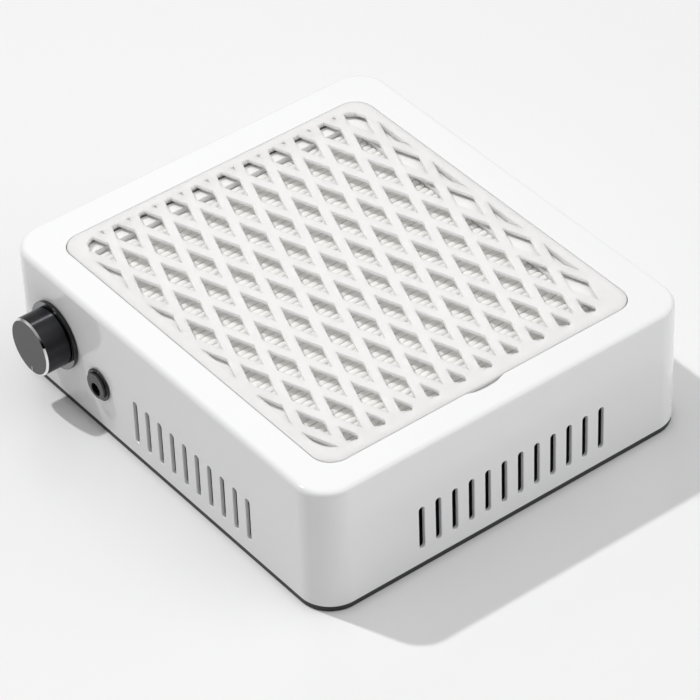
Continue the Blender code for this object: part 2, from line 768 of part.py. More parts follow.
def filter_tray(parent):
    """A well with round corners hung from a flange. Lugs reach the bosses; a collar leads into the fan."""
    flange = rounded(FLANGE_WIDTH, FLANGE_DEPTH, OPENING_CORNER + TRAY_LIP)
    place = (OPENING_X, OPENING_Y)
    tray = plate("filter_tray", [flange], TRAY_TOP - TRAY_FLANGE, TRAY_TOP, place)
    piece(tray, parent, WHITE_MOULDING)

    outer = rounded(WELL_WIDTH + 2 * TRAY_WALL, WELL_DEPTH + 2 * TRAY_WALL, TRAY_CORNER + TRAY_WALL)
    join(tray, plate("well", [outer], TRAY_BOTTOM, TRAY_TOP - SINK, place))
    join(tray, tray_lugs())
    inner = rounded(WELL_WIDTH, WELL_DEPTH, TRAY_CORNER)
    cut(tray, plate("well_inside", [inner], TRAY_FLOOR, TRAY_TOP + OVERRUN, place))
    collar = circle(INLET_RADIUS + INLET_COLLAR, WHEEL_STEPS)
    join(tray, plate("collar", [collar], INLET_BOTTOM, TRAY_BOTTOM + SINK, place))
    inlet = circle(INLET_RADIUS, WHEEL_STEPS)
    cut(tray, plate("inlet", [inlet], INLET_BOTTOM - OVERRUN, TRAY_FLOOR + OVERRUN, place))
    holes = [circle(SCREW_HOLE, FASTENER_STEPS, boss) for boss in tray_boss_places()]
    cut(tray, plate("lug_holes", holes, LUG_BOTTOM - OVERRUN, LUG_TOP + OVERRUN))
    return tray


def tray_lugs():
    """Tongues from the well's wall out to the bosses, round at the tip."""
    root = WELL_DEPTH / 2 + TRAY_WALL - SINK
    outlines = []
    for x in (-TRAY_BOSS_X, TRAY_BOSS_X):
        tip = arc((x, TRAY_BOSS_Y), TRAY_BOSS, 0, math.pi, SMALL_CORNER_STEPS)
        back = [*tip, (x - LUG_WIDTH / 2, root), (x + LUG_WIDTH / 2, root)]
        outlines.append(back)
        outlines.append([(-a, -b) for a, b in back])
    return plate("lugs", outlines, LUG_BOTTOM, LUG_TOP, (OPENING_X, OPENING_Y))


def tray_screws(parent):
    """Screws up through the lugs into the bosses."""
    seat = LUG_BOTTOM - FIT
    for number, (x, y) in enumerate(tray_boss_places(), 1):
        piece(screw(f"tray_screw_{number}", (x, y, seat), SCREW_GRIP), parent, ZINC_STEEL)


def frame_opening():
    return FRAME_WIDTH - 2 * FRAME_SIDE, FRAME_DEPTH - 2 * FRAME_RAIL


def filter_frame(parent):
    """A deep rim with a grid of thin bars across its bottom, which the pleats stand on."""
    width, depth = frame_opening()
    outlines = [
        rounded(FRAME_WIDTH, FRAME_DEPTH, FRAME_CORNER, SMALL_CORNER_STEPS),
        rounded(width, depth, FRAME_INNER_CORNER, SMALL_CORNER_STEPS),
    ]
    place = (OPENING_X, OPENING_Y)
    frame = plate("filter_frame", outlines, FRAME_BOTTOM, FRAME_TOP, place)
    piece(frame, parent, WHITE_MOULDING)
    join(frame, grid_bars("bars_across", True))
    join(frame, grid_bars("bars_along", False))
    return frame


def grid_bars(name, across):
    """Even bars that reach into the rim at both ends."""
    width, depth = frame_opening()
    run, span = (depth, width) if across else (width, depth)
    bays = round(run / GRID_BAR_PITCH)
    outlines = []
    for index in range(1, bays):
        offset = index * run / bays - run / 2
        half = span / 2 + SINK
        bar = [(-half, -GRID_BAR / 2), (half, -GRID_BAR / 2), (half, GRID_BAR / 2), (-half, GRID_BAR / 2)]
        placed = moved(bar, 0, offset)
        outlines.append(placed if across else [(-y, x) for x, y in placed])
    return plate(name, outlines, FRAME_BOTTOM, FRAME_BOTTOM + GRID_BAR_HEIGHT, (OPENING_X, OPENING_Y))


def filter_media(parent):
    """One sheet of paper in even pleats that run from side to side, standing on the grid."""
    width, depth = frame_opening()
    width -= 2 * FIT
    depth -= 2 * FIT + PAPER
    folds = 2 * round(depth / PLEAT_PITCH)
    run = depth / folds
    fold_reach = PAPER / 2 * math.hypot(run, PLEAT_DEPTH) / run
    low = FRAME_BOTTOM + GRID_BAR_HEIGHT + FIT + fold_reach
    points = []
    for fold in range(folds + 1):
        y = fold * run - depth / 2
        z = low + PLEAT_DEPTH * (fold % 2)
        points += [(-width / 2, y, z), (width / 2, y, z)]
    faces = [(2 * f, 2 * f + 1, 2 * f + 3, 2 * f + 2) for f in range(folds)]
    mesh = bpy.data.meshes.new("filter_media")
    mesh.from_pydata(points, [], faces)
    paper = bpy.data.objects.new("filter_media", mesh)
    paper.location = (OPENING_X, OPENING_Y, 0)
    sheet = paper.modifiers.new("paper", "SOLIDIFY")
    sheet.thickness = PAPER
    sheet.offset = 0
    sheet.use_even_offset = True
    piece(paper, parent, WHITE_PAPER)
    paper.data.shade_flat()
    return paper


# Lattice cover.


def left_of(outline, start, end):
    """The part of a convex outline on the left of the line from start to end."""

    def side(point):
        return (end[0] - start[0]) * (point[1] - start[1]) - (end[1] - start[1]) * (point[0] - start[0])

    kept = []
    for here, there in zip(outline, outline[1:] + outline[:1]):
        near, far = side(here), side(there)
        if near >= 0:
            kept.append(here)
        if near * far < 0:
            share = near / (near - far)
            kept.append(tuple(a + share * (b - a) for a, b in zip(here, there)))
    return kept


def inside(outline, fence):
    """The part of a convex outline inside a convex fence."""
    for start, end in zip(fence, fence[1:] + fence[:1]):
        outline = left_of(outline, start, end)
    return outline


def large_enough(outline):
    if len(outline) < 3:
        return False
    extents = [max(axis) - min(axis) for axis in zip(*outline)]
    return min(extents) >= SMALLEST_HOLE


def diamond(x, y):
    half_x, half_y = HOLE_WIDTH / 2, HOLE_DEPTH / 2
    return [(x + half_x, y), (x, y + half_y), (x - half_x, y), (x, y - half_y)]


def drop(x, apex):
    """A teardrop between the lowest diamonds: a point over a circle that touches the field's front edge."""
    middle = DROP_RADIUS - FIELD_DEPTH / 2
    lean = math.asin(DROP_RADIUS / (apex - middle))
    bottom = arc((x, middle), DROP_RADIUS, math.pi - lean, 2 * math.pi + lean, DROP_STEPS)
    return [*bottom, (x, apex)]


def corner_web():
    """The lower edge of the strip at the front left corner, as two points, set in towards the middle."""
    x = WEB_SHIFT - (COLUMNS + 0.5) * CELL_WIDTH
    y = FIRST_ROW_Y + (HOLE_DEPTH - CELL_DEPTH) / 2
    return (x, y), (x + HOLE_WIDTH / 2, y - HOLE_DEPTH / 2)


def lattice_holes():
    """Rows of diamonds in a running pattern, trimmed to the field, with drops along the front."""
    field = rounded(FIELD_WIDTH, FIELD_DEPTH, FIELD_CORNER, SMALL_CORNER_STEPS + 2)
    web_top, web_end = corner_web()
    strip = CELL_WIDTH - HOLE_WIDTH
    inner_top, inner_end = (web_top[0] + strip, web_top[1]), (web_end[0] + strip, web_end[1])
    holes = [left_of(field, web_end, web_top)]
    for row in range(ROWS):
        y = FIRST_ROW_Y + row * CELL_DEPTH
        for column in range(-COLUMNS, COLUMNS + 1):
            hole = diamond(column * CELL_WIDTH, y)
            if (row, column) == (0, -COLUMNS):
                hole = left_of(hole, inner_top, inner_end)
            holes.append(inside(hole, field))
    for row in range(ROWS + 1):
        y = FIRST_ROW_Y + (row - 0.5) * CELL_DEPTH
        for column in range(-COLUMNS - 1, COLUMNS + 1):
            x = (column + 0.5) * CELL_WIDTH
            if row > 0:
                holes.append(inside(diamond(x, y), field))
            elif abs(x) < COLUMNS * CELL_WIDTH:
                holes.append(drop(x, y + HOLE_DEPTH / 2))
    return [hole for hole in holes if large_enough(hole)]


def grille_cover(parent):
    """A panel with a pillowed edge, thinned from below and pierced by the lattice."""
    edge = rounded(COVER_WIDTH, COVER_DEPTH, COVER_CORNER)
    sections = [(edge, COVER_BOTTOM), (edge, CASE_TOP)]
    for step in range(1, CROWN_STEPS + 1):
        lean = step / CROWN_STEPS * math.pi / 2
        inset = COVER_BAND * (1 - math.cos(lean))
        corner = max(COVER_CORNER - inset, COVER_CORNER / 2)
        ring = rounded(COVER_WIDTH - 2 * inset, COVER_DEPTH - 2 * inset, corner)
        sections.append((ring, CASE_TOP + COVER_CROWN * math.sin(lean)))
    cover = loft("grille_cover", sections)
    cover.location = (OPENING_X, OPENING_Y, 0)
    piece(cover, parent, WHITE_COVER)
    place = (OPENING_X, OPENING_Y)
    pocket = [rounded(FIELD_WIDTH, FIELD_DEPTH, FIELD_CORNER)]
    cut(cover, plate("pocket", pocket, COVER_BOTTOM - OVERRUN, COVER_TOP - COVER_SKIN, place))
    cut(cover, plate("lattice", lattice_holes(), COVER_BOTTOM - OVERRUN, COVER_TOP + OVERRUN, place))
    return cover


# Fan.


def blade_outline(start):
    """A backward curved blade: both faces follow one spiral, half a thickness to each side."""
    tip = WHEEL_RADIUS - BLADE_TIP_INSET
    front, back = [], []
    for step in range(BLADE_STEPS + 1):
        share = step / BLADE_STEPS
        radius = BLADE_INNER + (tip - BLADE_INNER) * share
        angle = start + BLADE_SWEEP_ANGLE * share**0.8
        half = BLADE_THICKNESS / 2 / radius
        front.append((radius * math.cos(angle + half), radius * math.sin(angle + half)))
        back.append((radius * math.cos(angle - half), radius * math.sin(angle - half)))
    return back + front[::-1]


def impeller(parent):
    """Hub cup and back plate turned as one, with blades between it and the shroud."""
    bore = SHAFT_RADIUS + HOLE_FIT
    foot = HUB_FILLET * (1 - math.sqrt(0.5))
    profile = [
        (bore, WHEEL_TOP),
        (HUB_RADIUS - HUB_WALL, WHEEL_TOP),
        (HUB_RADIUS, WHEEL_TOP - HUB_WALL),
        (HUB_RADIUS, WHEEL_PLATE_TOP + HUB_FILLET),
        (HUB_RADIUS + foot, WHEEL_PLATE_TOP + foot),
        (HUB_RADIUS + HUB_FILLET, WHEEL_PLATE_TOP),
        (WHEEL_RADIUS, WHEEL_PLATE_TOP),
        (WHEEL_RADIUS, WHEEL_BOTTOM),
        (HUB_INNER, WHEEL_BOTTOM),
        (HUB_INNER, SHROUD_BOTTOM),
        (bore, SHROUD_BOTTOM),
    ]
    wheel = piece(turned("impeller", profile, WHEEL_STEPS), parent, BLACK_MATT)
    blades = [blade_outline(2 * math.pi * index / BLADES) for index in range(BLADES)]
    join(wheel, plate("blades", blades, WHEEL_PLATE_TOP - SINK, SHROUD_BOTTOM + SINK))
    shroud = [
        (EYE_RADIUS, WHEEL_TOP + EYE_RISE),
        (EYE_RADIUS + EYE_WALL, WHEEL_TOP + EYE_RISE),
        (EYE_RADIUS + EYE_WALL, WHEEL_TOP),
        (WHEEL_RADIUS, WHEEL_TOP),
        (WHEEL_RADIUS, SHROUD_BOTTOM),
        (EYE_RADIUS, SHROUD_BOTTOM),
    ]
    join(wheel, turned("shroud", shroud, WHEEL_STEPS))
    return wheel


def impeller_nut(parent):
    bottom = WHEEL_TOP + FIT
    nut = hexagon_nut("impeller_nut", NUT_RADIUS, SHAFT_RADIUS + HOLE_FIT, bottom, bottom + NUT_HEIGHT)
    piece(nut, parent, BRIGHT_STEEL)


def motor_shaft(parent):
    bottom = MOTOR_BOTTOM + SHAFT_SEAT
    edge = SHAFT_RADIUS / 5
    profile = [(0, SHAFT_TOP), (SHAFT_RADIUS - edge, SHAFT_TOP), (SHAFT_RADIUS, SHAFT_TOP - edge)]
    profile += [(SHAFT_RADIUS, bottom), (0, bottom)]
    piece(turned("motor_shaft", profile, SMALL_ROUND_STEPS), parent, BRIGHT_STEEL)


def motor(parent):
    """A plain can with the shaft's bore from above and two screw holes from below."""
    bore = SHAFT_RADIUS + HOLE_FIT
    bore_end = MOTOR_BOTTOM + SHAFT_SEAT - FIT
    profile = [
        (0, MOTOR_TOP),
        (MOTOR_RADIUS - MOTOR_CHAMFER, MOTOR_TOP),
        (MOTOR_RADIUS, MOTOR_TOP - MOTOR_CHAMFER),
        (MOTOR_RADIUS, MOTOR_BOTTOM),
        (0, MOTOR_BOTTOM),
    ]
    can = turned("motor", profile, ROUND_STEPS, (OPENING_X, OPENING_Y, 0))
    piece(can, parent, ZINC_STEEL)
    place = (OPENING_X, OPENING_Y)
    shaft = [circle(bore, SMALL_ROUND_STEPS)]
    cut(can, plate("motor_bore", shaft, bore_end, MOTOR_TOP + OVERRUN, place))
    holes = [circle(SCREW_HOLE, FASTENER_STEPS, spot) for spot in motor_screw_places()]
    top = MOTOR_BOTTOM + MOTOR_SCREW_GRIP + FIT
    cut(can, plate("motor_holes", holes, MOTOR_BOTTOM - OVERRUN, top, place))


def ear_places():
    angles = [math.pi / 4 + 2 * math.pi * ear / MOUNT_EARS for ear in range(MOUNT_EARS)]
    return [(MOUNT_EAR_CIRCLE * math.cos(a), MOUNT_EAR_CIRCLE * math.sin(a)) for a in angles]


def motor_screw_places():
    return [(0, -MOTOR_SCREW_CIRCLE), (0, MOTOR_SCREW_CIRCLE)]


def motor_mount(parent):
    """A pressed disc with four round ears, and a hole that the motor's lead drops through."""
    place = (OPENING_X, OPENING_Y)
    mount = plate("motor_mount", [circle(MOUNT_DISC, ROUND_STEPS)], MOUNT_BOTTOM, MOUNT_TOP, place)
    piece(mount, parent, ZINC_STEEL)
    for number, (x, y) in enumerate(ear_places(), 1):
        angle = math.atan2(y, x)
        tip = arc((MOUNT_EAR_CIRCLE, 0), MOUNT_EAR_RADIUS, -math.pi / 2, math.pi / 2, SMALL_CORNER_STEPS)
        root = MOUNT_DISC - MOUNT_EAR_RADIUS
        outline = [*tip, (root, MOUNT_EAR_RADIUS), (root, -MOUNT_EAR_RADIUS)]
        ear = plate(f"ear_{number}", [outline], MOUNT_BOTTOM, MOUNT_TOP, place)
        ear.rotation_euler = (0, 0, angle)
        join(mount, ear)
    holes = [circle(SCREW_HOLE, FASTENER_STEPS, spot) for spot in ear_places() + motor_screw_places()]
    holes.append(circle(LEAD_HOLE, FASTENER_STEPS, (-LEAD_HOLE_OUT, 0)))
    cut(mount, plate("mount_holes", holes, MOUNT_BOTTOM - OVERRUN, MOUNT_TOP + OVERRUN, place))


def mounting_hardware(parent):
    """A rubber bush and a screw at each ear, and two screws up into the motor."""
    bore = SCREW_HOLE
    ring = [
        (bore, DAMPER_TOP),
        (DAMPER_RADIUS, DAMPER_TOP),
        (DAMPER_RADIUS, DAMPER_BOTTOM),
        (bore, DAMPER_BOTTOM),
    ]
    seat = MOUNT_TOP + FIT
    shank = seat - BASE_TOP - 2 * FIT
    for number, (x, y) in enumerate(moved(ear_places(), OPENING_X, OPENING_Y), 1):
        damper = turned(f"vibration_damper_{number}", ring, SMALL_ROUND_STEPS, (x, y, 0))
        piece(damper, parent, BLACK_RUBBER)
        held = screw(f"mount_screw_{number}", (x, y, seat), shank, upward=False)
        piece(held, parent, ZINC_STEEL)
    for number, (x, y) in enumerate(moved(motor_screw_places(), OPENING_X, OPENING_Y), 1):
        seat_below = MOUNT_BOTTOM - FIT
        grip = MOTOR_BOTTOM + MOTOR_SCREW_GRIP - seat_below
        piece(screw(f"motor_screw_{number}", (x, y, seat_below), grip), parent, ZINC_STEEL)


# Dial and control board.


def dial_trim_ring(parent):
    bore = BUSHING_RADIUS + HOLE_FIT
    profile = [
        (bore, RING_FACE),
        (RING_RADIUS - RING_CHAMFER, RING_FACE),
        (RING_RADIUS, RING_FACE - RING_CHAMFER),
        (RING_RADIUS, RING_BACK),
        (bore, RING_BACK),
    ]
    ring = turned("dial_trim_ring", profile, DIAL_STEPS)
    piece(on_left_wall(ring, DIAL_Y, DIAL_Z), parent, BLACK_GLOSS)


def potentiometer(parent):
    """A round body inside the wall with a threaded bushing through it."""
    profile = [
        (BUSHING_BORE, BUSHING_FRONT),
        (BUSHING_RADIUS, BUSHING_FRONT),
        (BUSHING_RADIUS, POT_FRONT),
        (POT_BODY_RADIUS, POT_FRONT),
        (POT_BODY_RADIUS, POT_BACK),
        (BUSHING_BORE, POT_BACK),
    ]
    body = turned("potentiometer", profile, SMALL_ROUND_STEPS)
    piece(on_left_wall(body, DIAL_Y, DIAL_Z), parent, ZINC_STEEL)


def pot_nut(parent):
    nut = hexagon_nut("pot_nut", POT_NUT_RADIUS, BUSHING_RADIUS + HOLE_FIT, POT_NUT_BACK, POT_NUT_FACE)
    wrapped = on_left_wall(shifted(nut), DIAL_Y, DIAL_Z)
    piece(wrapped, parent, BRIGHT_STEEL)


def shifted(solid):
    """Moves a plate's own height into its mesh, so that it can be placed by its axis."""
    solid.data.transform(Matrix.Translation(solid.location))
    solid.location = (0, 0, 0)
    return solid


def pot_shaft(axis):
    """A stepped shaft: thin in the bushing, full size in the knob."""
    tip = KNOB_BORE_END - FIT
    neck = BUSHING_BORE - HOLE_FIT
    shoulder = BUSHING_FRONT + FIT
    profile = [
        (0, tip),
        (POT_SHAFT_RADIUS, tip),
        (POT_SHAFT_RADIUS, shoulder),
        (neck, shoulder),
        (neck, POT_BACK + FIT),
        (0, POT_BACK + FIT),
    ]
    shaft = turned("pot_shaft", profile, SMALL_ROUND_STEPS)
    shaft.rotation_euler = (0, -math.pi / 2, 0)
    piece(shaft, axis, BRIGHT_STEEL)


def speed_knob(axis):
    """A solid dial with a bright chamfer, hollowed behind for the nut and bored for the shaft."""
    bore = POT_SHAFT_RADIUS + HOLE_FIT
    profile = [
        (0, KNOB_FRONT),
        (KNOB_RADIUS - KNOB_CHAMFER, KNOB_FRONT),
        (KNOB_RADIUS, KNOB_FRONT - KNOB_CHAMFER),
        (KNOB_RADIUS, KNOB_BACK),
        (KNOB_RECESS, KNOB_BACK),
        (KNOB_RECESS, KNOB_SHOULDER),
        (bore, KNOB_SHOULDER),
        (bore, KNOB_BORE_END),
        (0, KNOB_BORE_END),
    ]
    knob = turned("speed_knob", profile, DIAL_STEPS)
    knob.rotation_euler = (0, -math.pi / 2, 0)
    piece(knob, axis, DARK_METAL)

    size = (2 * POINTER_HEIGHT, POINTER_WIDTH + 2 * FIT, POINTER_LENGTH + 2 * FIT)
    groove = block("pointer_groove", size, (-KNOB_FRONT, 0, pointer_height()))
    cut(knob, groove)

    mark = (POINTER_HEIGHT - FIT, POINTER_WIDTH, POINTER_LENGTH)
    face = (POINTER_HEIGHT - FIT) / 2 - KNOB_FRONT
    piece(block("knob_pointer", mark, (face, 0, pointer_height())), axis, WHITE_MARK)


def pointer_height():
    """The pointer's middle below the dial's axis: it points straight down at rest."""
    return POINTER_INSET + POINTER_LENGTH / 2 - KNOB_RADIUS


def control_board(parent):
    """A bare board behind the potentiometer, with the parts that drive the motor on its inner face."""
    outer = CASE_WIDTH / 2
    size = (BOARD_THICKNESS, BOARD_LENGTH, BOARD_HEIGHT)
    middle = -outer - (BOARD_OUTSIDE + BOARD_INSIDE) / 2
    place = (middle, BOARD_FRONT + BOARD_LENGTH / 2, BOARD_BOTTOM + BOARD_HEIGHT / 2)
    piece(block("control_board", size, place), parent, GREEN_BOARD)

    seat = -outer - BOARD_INSIDE + FIT
    driver_x, connector_x = seat + DRIVER_SIZE[0] / 2, seat + CONNECTOR_SIZE[0] / 2
    piece(block("motor_driver", DRIVER_SIZE, (driver_x, DRIVER_Y, PARTS_Z)), parent, BLACK_MATT)
    connector = block("lead_connector", CONNECTOR_SIZE, (connector_x, CONNECTOR_Y, CONNECTOR_Z))
    piece(connector, parent, WHITE_MOULDING)

    edge = CAPACITOR_RADIUS / 8
    profile = [
        (0, CAPACITOR_LENGTH),
        (CAPACITOR_RADIUS - edge, CAPACITOR_LENGTH),
        (CAPACITOR_RADIUS, CAPACITOR_LENGTH - edge),
        (CAPACITOR_RADIUS, 0),
        (0, 0),
    ]
    can = turned("smoothing_capacitor", profile, SMALL_ROUND_STEPS, (seat, CAPACITOR_Y, PARTS_Z))
    can.rotation_euler = (0, math.pi / 2, 0)
    piece(can, parent, BLACK_MATT)


# Power inlet and wiring.


def dc_socket(parent):
    """A round inlet: rim and nose outside the wall, thread through it, bore to the centre pin."""
    dish = SOCKET_RIM - SOCKET_DISH_DEPTH
    profile = [
        (SOCKET_BORE, SOCKET_NOSE_RISE),
        (SOCKET_NOSE, SOCKET_NOSE_RISE),
        (SOCKET_DISH, dish),
        (SOCKET_FLANGE - 2 * SOCKET_RIM_ROUND, SOCKET_RIM),
        (SOCKET_FLANGE - SOCKET_RIM_ROUND, SOCKET_RIM),
        (SOCKET_FLANGE, SOCKET_RIM - SOCKET_RIM_ROUND),
        (SOCKET_FLANGE, FIT),
        (SOCKET_THREAD, FIT),
        (SOCKET_THREAD, SOCKET_THREAD_END),
        (SOCKET_BACK, SOCKET_THREAD_END),
        (SOCKET_BACK, SOCKET_END),
        (PIN_RADIUS + HOLE_FIT, SOCKET_END),
        (PIN_RADIUS + HOLE_FIT, SOCKET_END + SOCKET_BACK_WALL),
        (SOCKET_BORE, SOCKET_END + SOCKET_BACK_WALL),
    ]
    socket = turned("dc_socket", profile, INLET_STEPS)
    piece(on_left_wall(socket, SOCKET_Y, SOCKET_Z), parent, BLACK_GLOSS)

    back = POT_FRONT - SOCKET_NUT_HEIGHT
    nut = hexagon_nut("socket_nut", SOCKET_NUT_RADIUS, SOCKET_THREAD + HOLE_FIT, back, POT_FRONT)
    piece(on_left_wall(shifted(nut), SOCKET_Y, SOCKET_Z), parent, BRIGHT_STEEL)

    tip = PIN_RADIUS / 2
    profile = [(0, PIN_TIP), (tip, PIN_TIP), (PIN_RADIUS, PIN_TIP - tip), (PIN_RADIUS, PIN_END), (0, PIN_END)]
    pin = turned("socket_pin", profile, FASTENER_STEPS)
    piece(on_left_wall(pin, SOCKET_Y, SOCKET_Z), parent, BRASS)


def leads(parent):
    """Two leads from the inlet to the connector's front, and one from under the motor to its bottom."""
    wall = -CASE_WIDTH / 2
    connector_x = wall - BOARD_INSIDE + FIT + CONNECTOR_SIZE[0] / 2
    connector_y = CONNECTOR_Y - CONNECTOR_SIZE[1] / 2 - FIT
    bend = SOCKET_BACK
    half = LEAD_RISE / 2
    starts = {
        "power_lead_red": (wall - PIN_END + FIT, SOCKET_Z, CONNECTOR_Z - half, RED_LEAD),
        "power_lead_black": (wall - SOCKET_END + FIT, SOCKET_Z + LEAD_RISE, CONNECTOR_Z + half, BLACK_MATT),
    }
    for name, (x, z, end_z, look) in starts.items():
        route = [
            (x, SOCKET_Y, z),
            (x + bend / 2, SOCKET_Y, z),
            (x + bend * 3 / 4, SOCKET_Y + bend, z),
            (connector_x, connector_y - bend, end_z),
            (connector_x, connector_y - bend / 2, end_z),
            (connector_x, connector_y, end_z),
        ]
        piece(lead(name, route, LEAD_RADIUS), parent, look)

    start_x = OPENING_X - LEAD_HOLE_OUT
    run = MOTOR_LEAD_HEIGHT
    bottom = CONNECTOR_Z - CONNECTOR_SIZE[2] / 2 - FIT
    route = [
        (start_x, OPENING_Y, MOTOR_BOTTOM - FIT),
        (start_x, OPENING_Y, MOUNT_BOTTOM),
        (start_x - MOTOR_LEAD_RADIUS * 2, OPENING_Y, run),
        (start_x - LEAD_HOLE_OUT, OPENING_Y + bend, run),
        (start_x - LEAD_HOLE_OUT * 2, CONNECTOR_Y / 2, run),
        (connector_x + bend / 2, CONNECTOR_Y - bend, run),
        (connector_x, CONNECTOR_Y, (run + bottom) / 2),
        (connector_x, CONNECTOR_Y, bottom - MOTOR_LEAD_RADIUS),
        (connector_x, CONNECTOR_Y, bottom),
    ]
    piece(lead("motor_lead", route, MOTOR_LEAD_RADIUS), parent, BLACK_MATT)


def build():
    # The dial sticks out of the left wall, so the casing stands that much off the middle.
    collector = carrier("nail_dust_collector", (KNOB_FRONT / 2, 0, 0))
    fan = carrier("fan_axis", (OPENING_X, OPENING_Y, 0), collector)
    dial = carrier("dial_axis", (-CASE_WIDTH / 2, DIAL_Y, DIAL_Z), collector)

    upper_housing(collector)
    base_plate(collector)
    feet(collector)
    base_screws(collector)
    filter_tray(collector)
    tray_screws(collector)
    filter_frame(collector)
    filter_media(collector)
    grille_cover(collector)
    motor(collector)
    motor_mount(collector)
    mounting_hardware(collector)
    dial_trim_ring(collector)
    potentiometer(collector)
    pot_nut(collector)
    control_board(collector)
    dc_socket(collector)
    leads(collector)

    impeller(fan)
    impeller_nut(fan)
    motor_shaft(fan)

    speed_knob(dial)
    pot_shaft(dial)


cleared_scene()
PARTS = new_collection("nail_dust_collector")
TOOLS = new_collection("cutters_and_added_bodies")
build()
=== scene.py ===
"""Looks of a desktop nail dust collector: white casing, lift-out lattice cover, pleated filter, dial.

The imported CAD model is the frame. The pieces that show are built again here with fine edges, in the CAD
pieces' places, and every piece gets a finish of its own. Metres, +Z up, the object standing on the floor.
"""

import math

import bmesh
import bpy
import numpy as np
from mathutils import Matrix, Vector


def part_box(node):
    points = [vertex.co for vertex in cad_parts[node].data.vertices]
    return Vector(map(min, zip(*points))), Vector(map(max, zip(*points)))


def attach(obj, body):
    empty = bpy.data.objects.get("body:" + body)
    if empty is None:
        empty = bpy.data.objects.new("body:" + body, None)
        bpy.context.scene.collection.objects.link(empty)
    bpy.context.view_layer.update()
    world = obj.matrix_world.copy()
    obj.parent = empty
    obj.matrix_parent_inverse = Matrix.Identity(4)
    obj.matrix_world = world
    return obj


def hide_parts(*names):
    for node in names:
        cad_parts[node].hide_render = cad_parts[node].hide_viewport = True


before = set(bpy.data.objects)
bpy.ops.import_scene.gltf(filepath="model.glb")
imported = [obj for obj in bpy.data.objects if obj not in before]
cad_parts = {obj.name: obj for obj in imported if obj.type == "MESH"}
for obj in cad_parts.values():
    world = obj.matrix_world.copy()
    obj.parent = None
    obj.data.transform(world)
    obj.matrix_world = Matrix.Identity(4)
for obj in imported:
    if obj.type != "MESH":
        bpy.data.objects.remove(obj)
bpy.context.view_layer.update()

# Casing and its openings.
CASE_CORNER = 0.0165
CASE_WALL = 0.002
TOP_EDGE = 0.0026
SEAM = 0.0004
OPENING_CORNER = 0.0105
NOTCH_WIDTH = 0.021
NOTCH_DEPTH = 0.0022
NOTCH_OFFSET = -0.00075
VENT_WIDTH = 0.0031
VENT_HEIGHT = 0.0241
VENT_PITCH = 0.00936
FRONT_VENT_RISE = 0.0086
SIDE_VENT_RISE = 0.0081
FRONT_VENTS = 12
FRONT_VENTS_X = 0.0014
SIDE_VENTS = 10
SIDE_VENTS_Y = -0.0224
WALL_HOLE = 0.0058
DIAL_HOLE = 0.0038
CORNER_BOSS = 0.005
TRAY_BOSS = 0.004
TRAY_BOSS_LENGTH = 0.0145
FINE_LIP = 0.0003
# Painted shade: a black skirt under the walls, a little in from them and just above the floor, darkens the
# gap beneath the casing.
SHADE_SKIRT_WIDTH = 0.0025
SHADE_SKIRT_INSET = 0.0003
SHADE_SKIRT_GAP = 0.0003

# Lattice cover.
CROWN = 0.0007
CROWN_BAND = 0.005
COVER_SKIN = 0.0018
FIELD_BORDER = 0.0056
FIELD_CORNER = 0.013
CELL_WIDTH = 0.015
CELL_DEPTH = 0.0405
HOLE_WIDTH = 0.0101
HOLE_DEPTH = 0.0274
DROP_RADIUS = 0.003
DROP_LENGTH = 0.01225
WEB_SHIFT = 0.0032
SMALLEST_HOLE = 0.0015
COVER_LIP = 0.0002

# Filter. The rim is wider at the right than at the left, and wider at the back than at the front.
RIM_LEFT = 0.0079
RIM_RIGHT = 0.0115
RIM_FRONT = 0.0045
RIM_BACK = 0.0064
RIM_CORNER = 0.006
RIM_INNER_CORNER = 0.0008
RIM_LIP = 0.0004
GRID_BAR = 0.002
GRID_BAR_HEIGHT = 0.0012
GRID_BAR_PITCH = 0.047
PAPER_GAP = 0.0003
PAPER_RISE = 0.0027
PLEAT_PITCH = 0.0036
PLEAT_CREST = 0.0010
PLEAT_SLIT = 0.0002
PLEAT_DROOP = 0.0004
PLEAT_SWAY = 0.0004
PAPER_CRUMPLE = 0.00028
PAPER = 0.0004

# Waves of the paper as (length, height). A height is a share of PAPER_CRUMPLE or of PLEAT_SWAY. From one
# pleat to the next, the sway's waves run on by SWAY_STRIDE.
CRUMPLE_WAVES = [(0.011, 0.4), (0.0075, 0.3), (0.0052, 0.3), (0.019, 0.5)]
SWAY_WAVES = [(0.05, 0.5), (0.023, 0.3), (0.012, 0.2)]
SWAY_STRIDE = 0.1
PAPER_SEED = 11

# Dial, its trim and the power inlet: radii, and distances out from the wall's face.
KNOB_CHAMFER = 0.0009
KNOB_RECESS = 0.008
KNOB_RECESS_DEPTH = 0.004
KNOB_BORE = 0.0033
KNOB_BORE_DEPTH = 0.0056
KNOB_SOFT = 0.00012
POINTER_PROUD = 0.00008
POINTER_WIDTH = 0.0006
POINTER_SHIFT = (-0.00076, -0.00104)
RING_BORE = 0.0038
RING_SOFT = 0.0002
SOCKET_FLANGE_FOOT = 0.0004
SOCKET_FLANGE_FACE = 0.0013
SOCKET_BOSS = 0.0067
SOCKET_BOSS_FACE = 0.0026
SOCKET_BORE = 0.0033
BORE_DROP = 0.002
SOCKET_THREAD = 0.0055
SOCKET_THREAD_END = -0.011
SOCKET_BACK = 0.005
SOCKET_END = -0.015
SOCKET_FLOOR = -0.013
PIN_HOLE = 0.0013
PIN = 0.001
PIN_TIP = -0.0008
PIN_DOME_SHARE = 0.8
SOCKET_SOFT = 0.0004

# How finely curves are divided.
CORNER_STEPS = 20
EDGE_STEPS = 8
VENT_STEPS = 10
DROP_STEPS = 14
NOTCH_STEPS = 16
TURN_STEPS = 128
SOFT_STEPS = 5
BOSS_STEPS = 32
PLEAT_STEPS = 12
PAPER_COLUMNS = 76

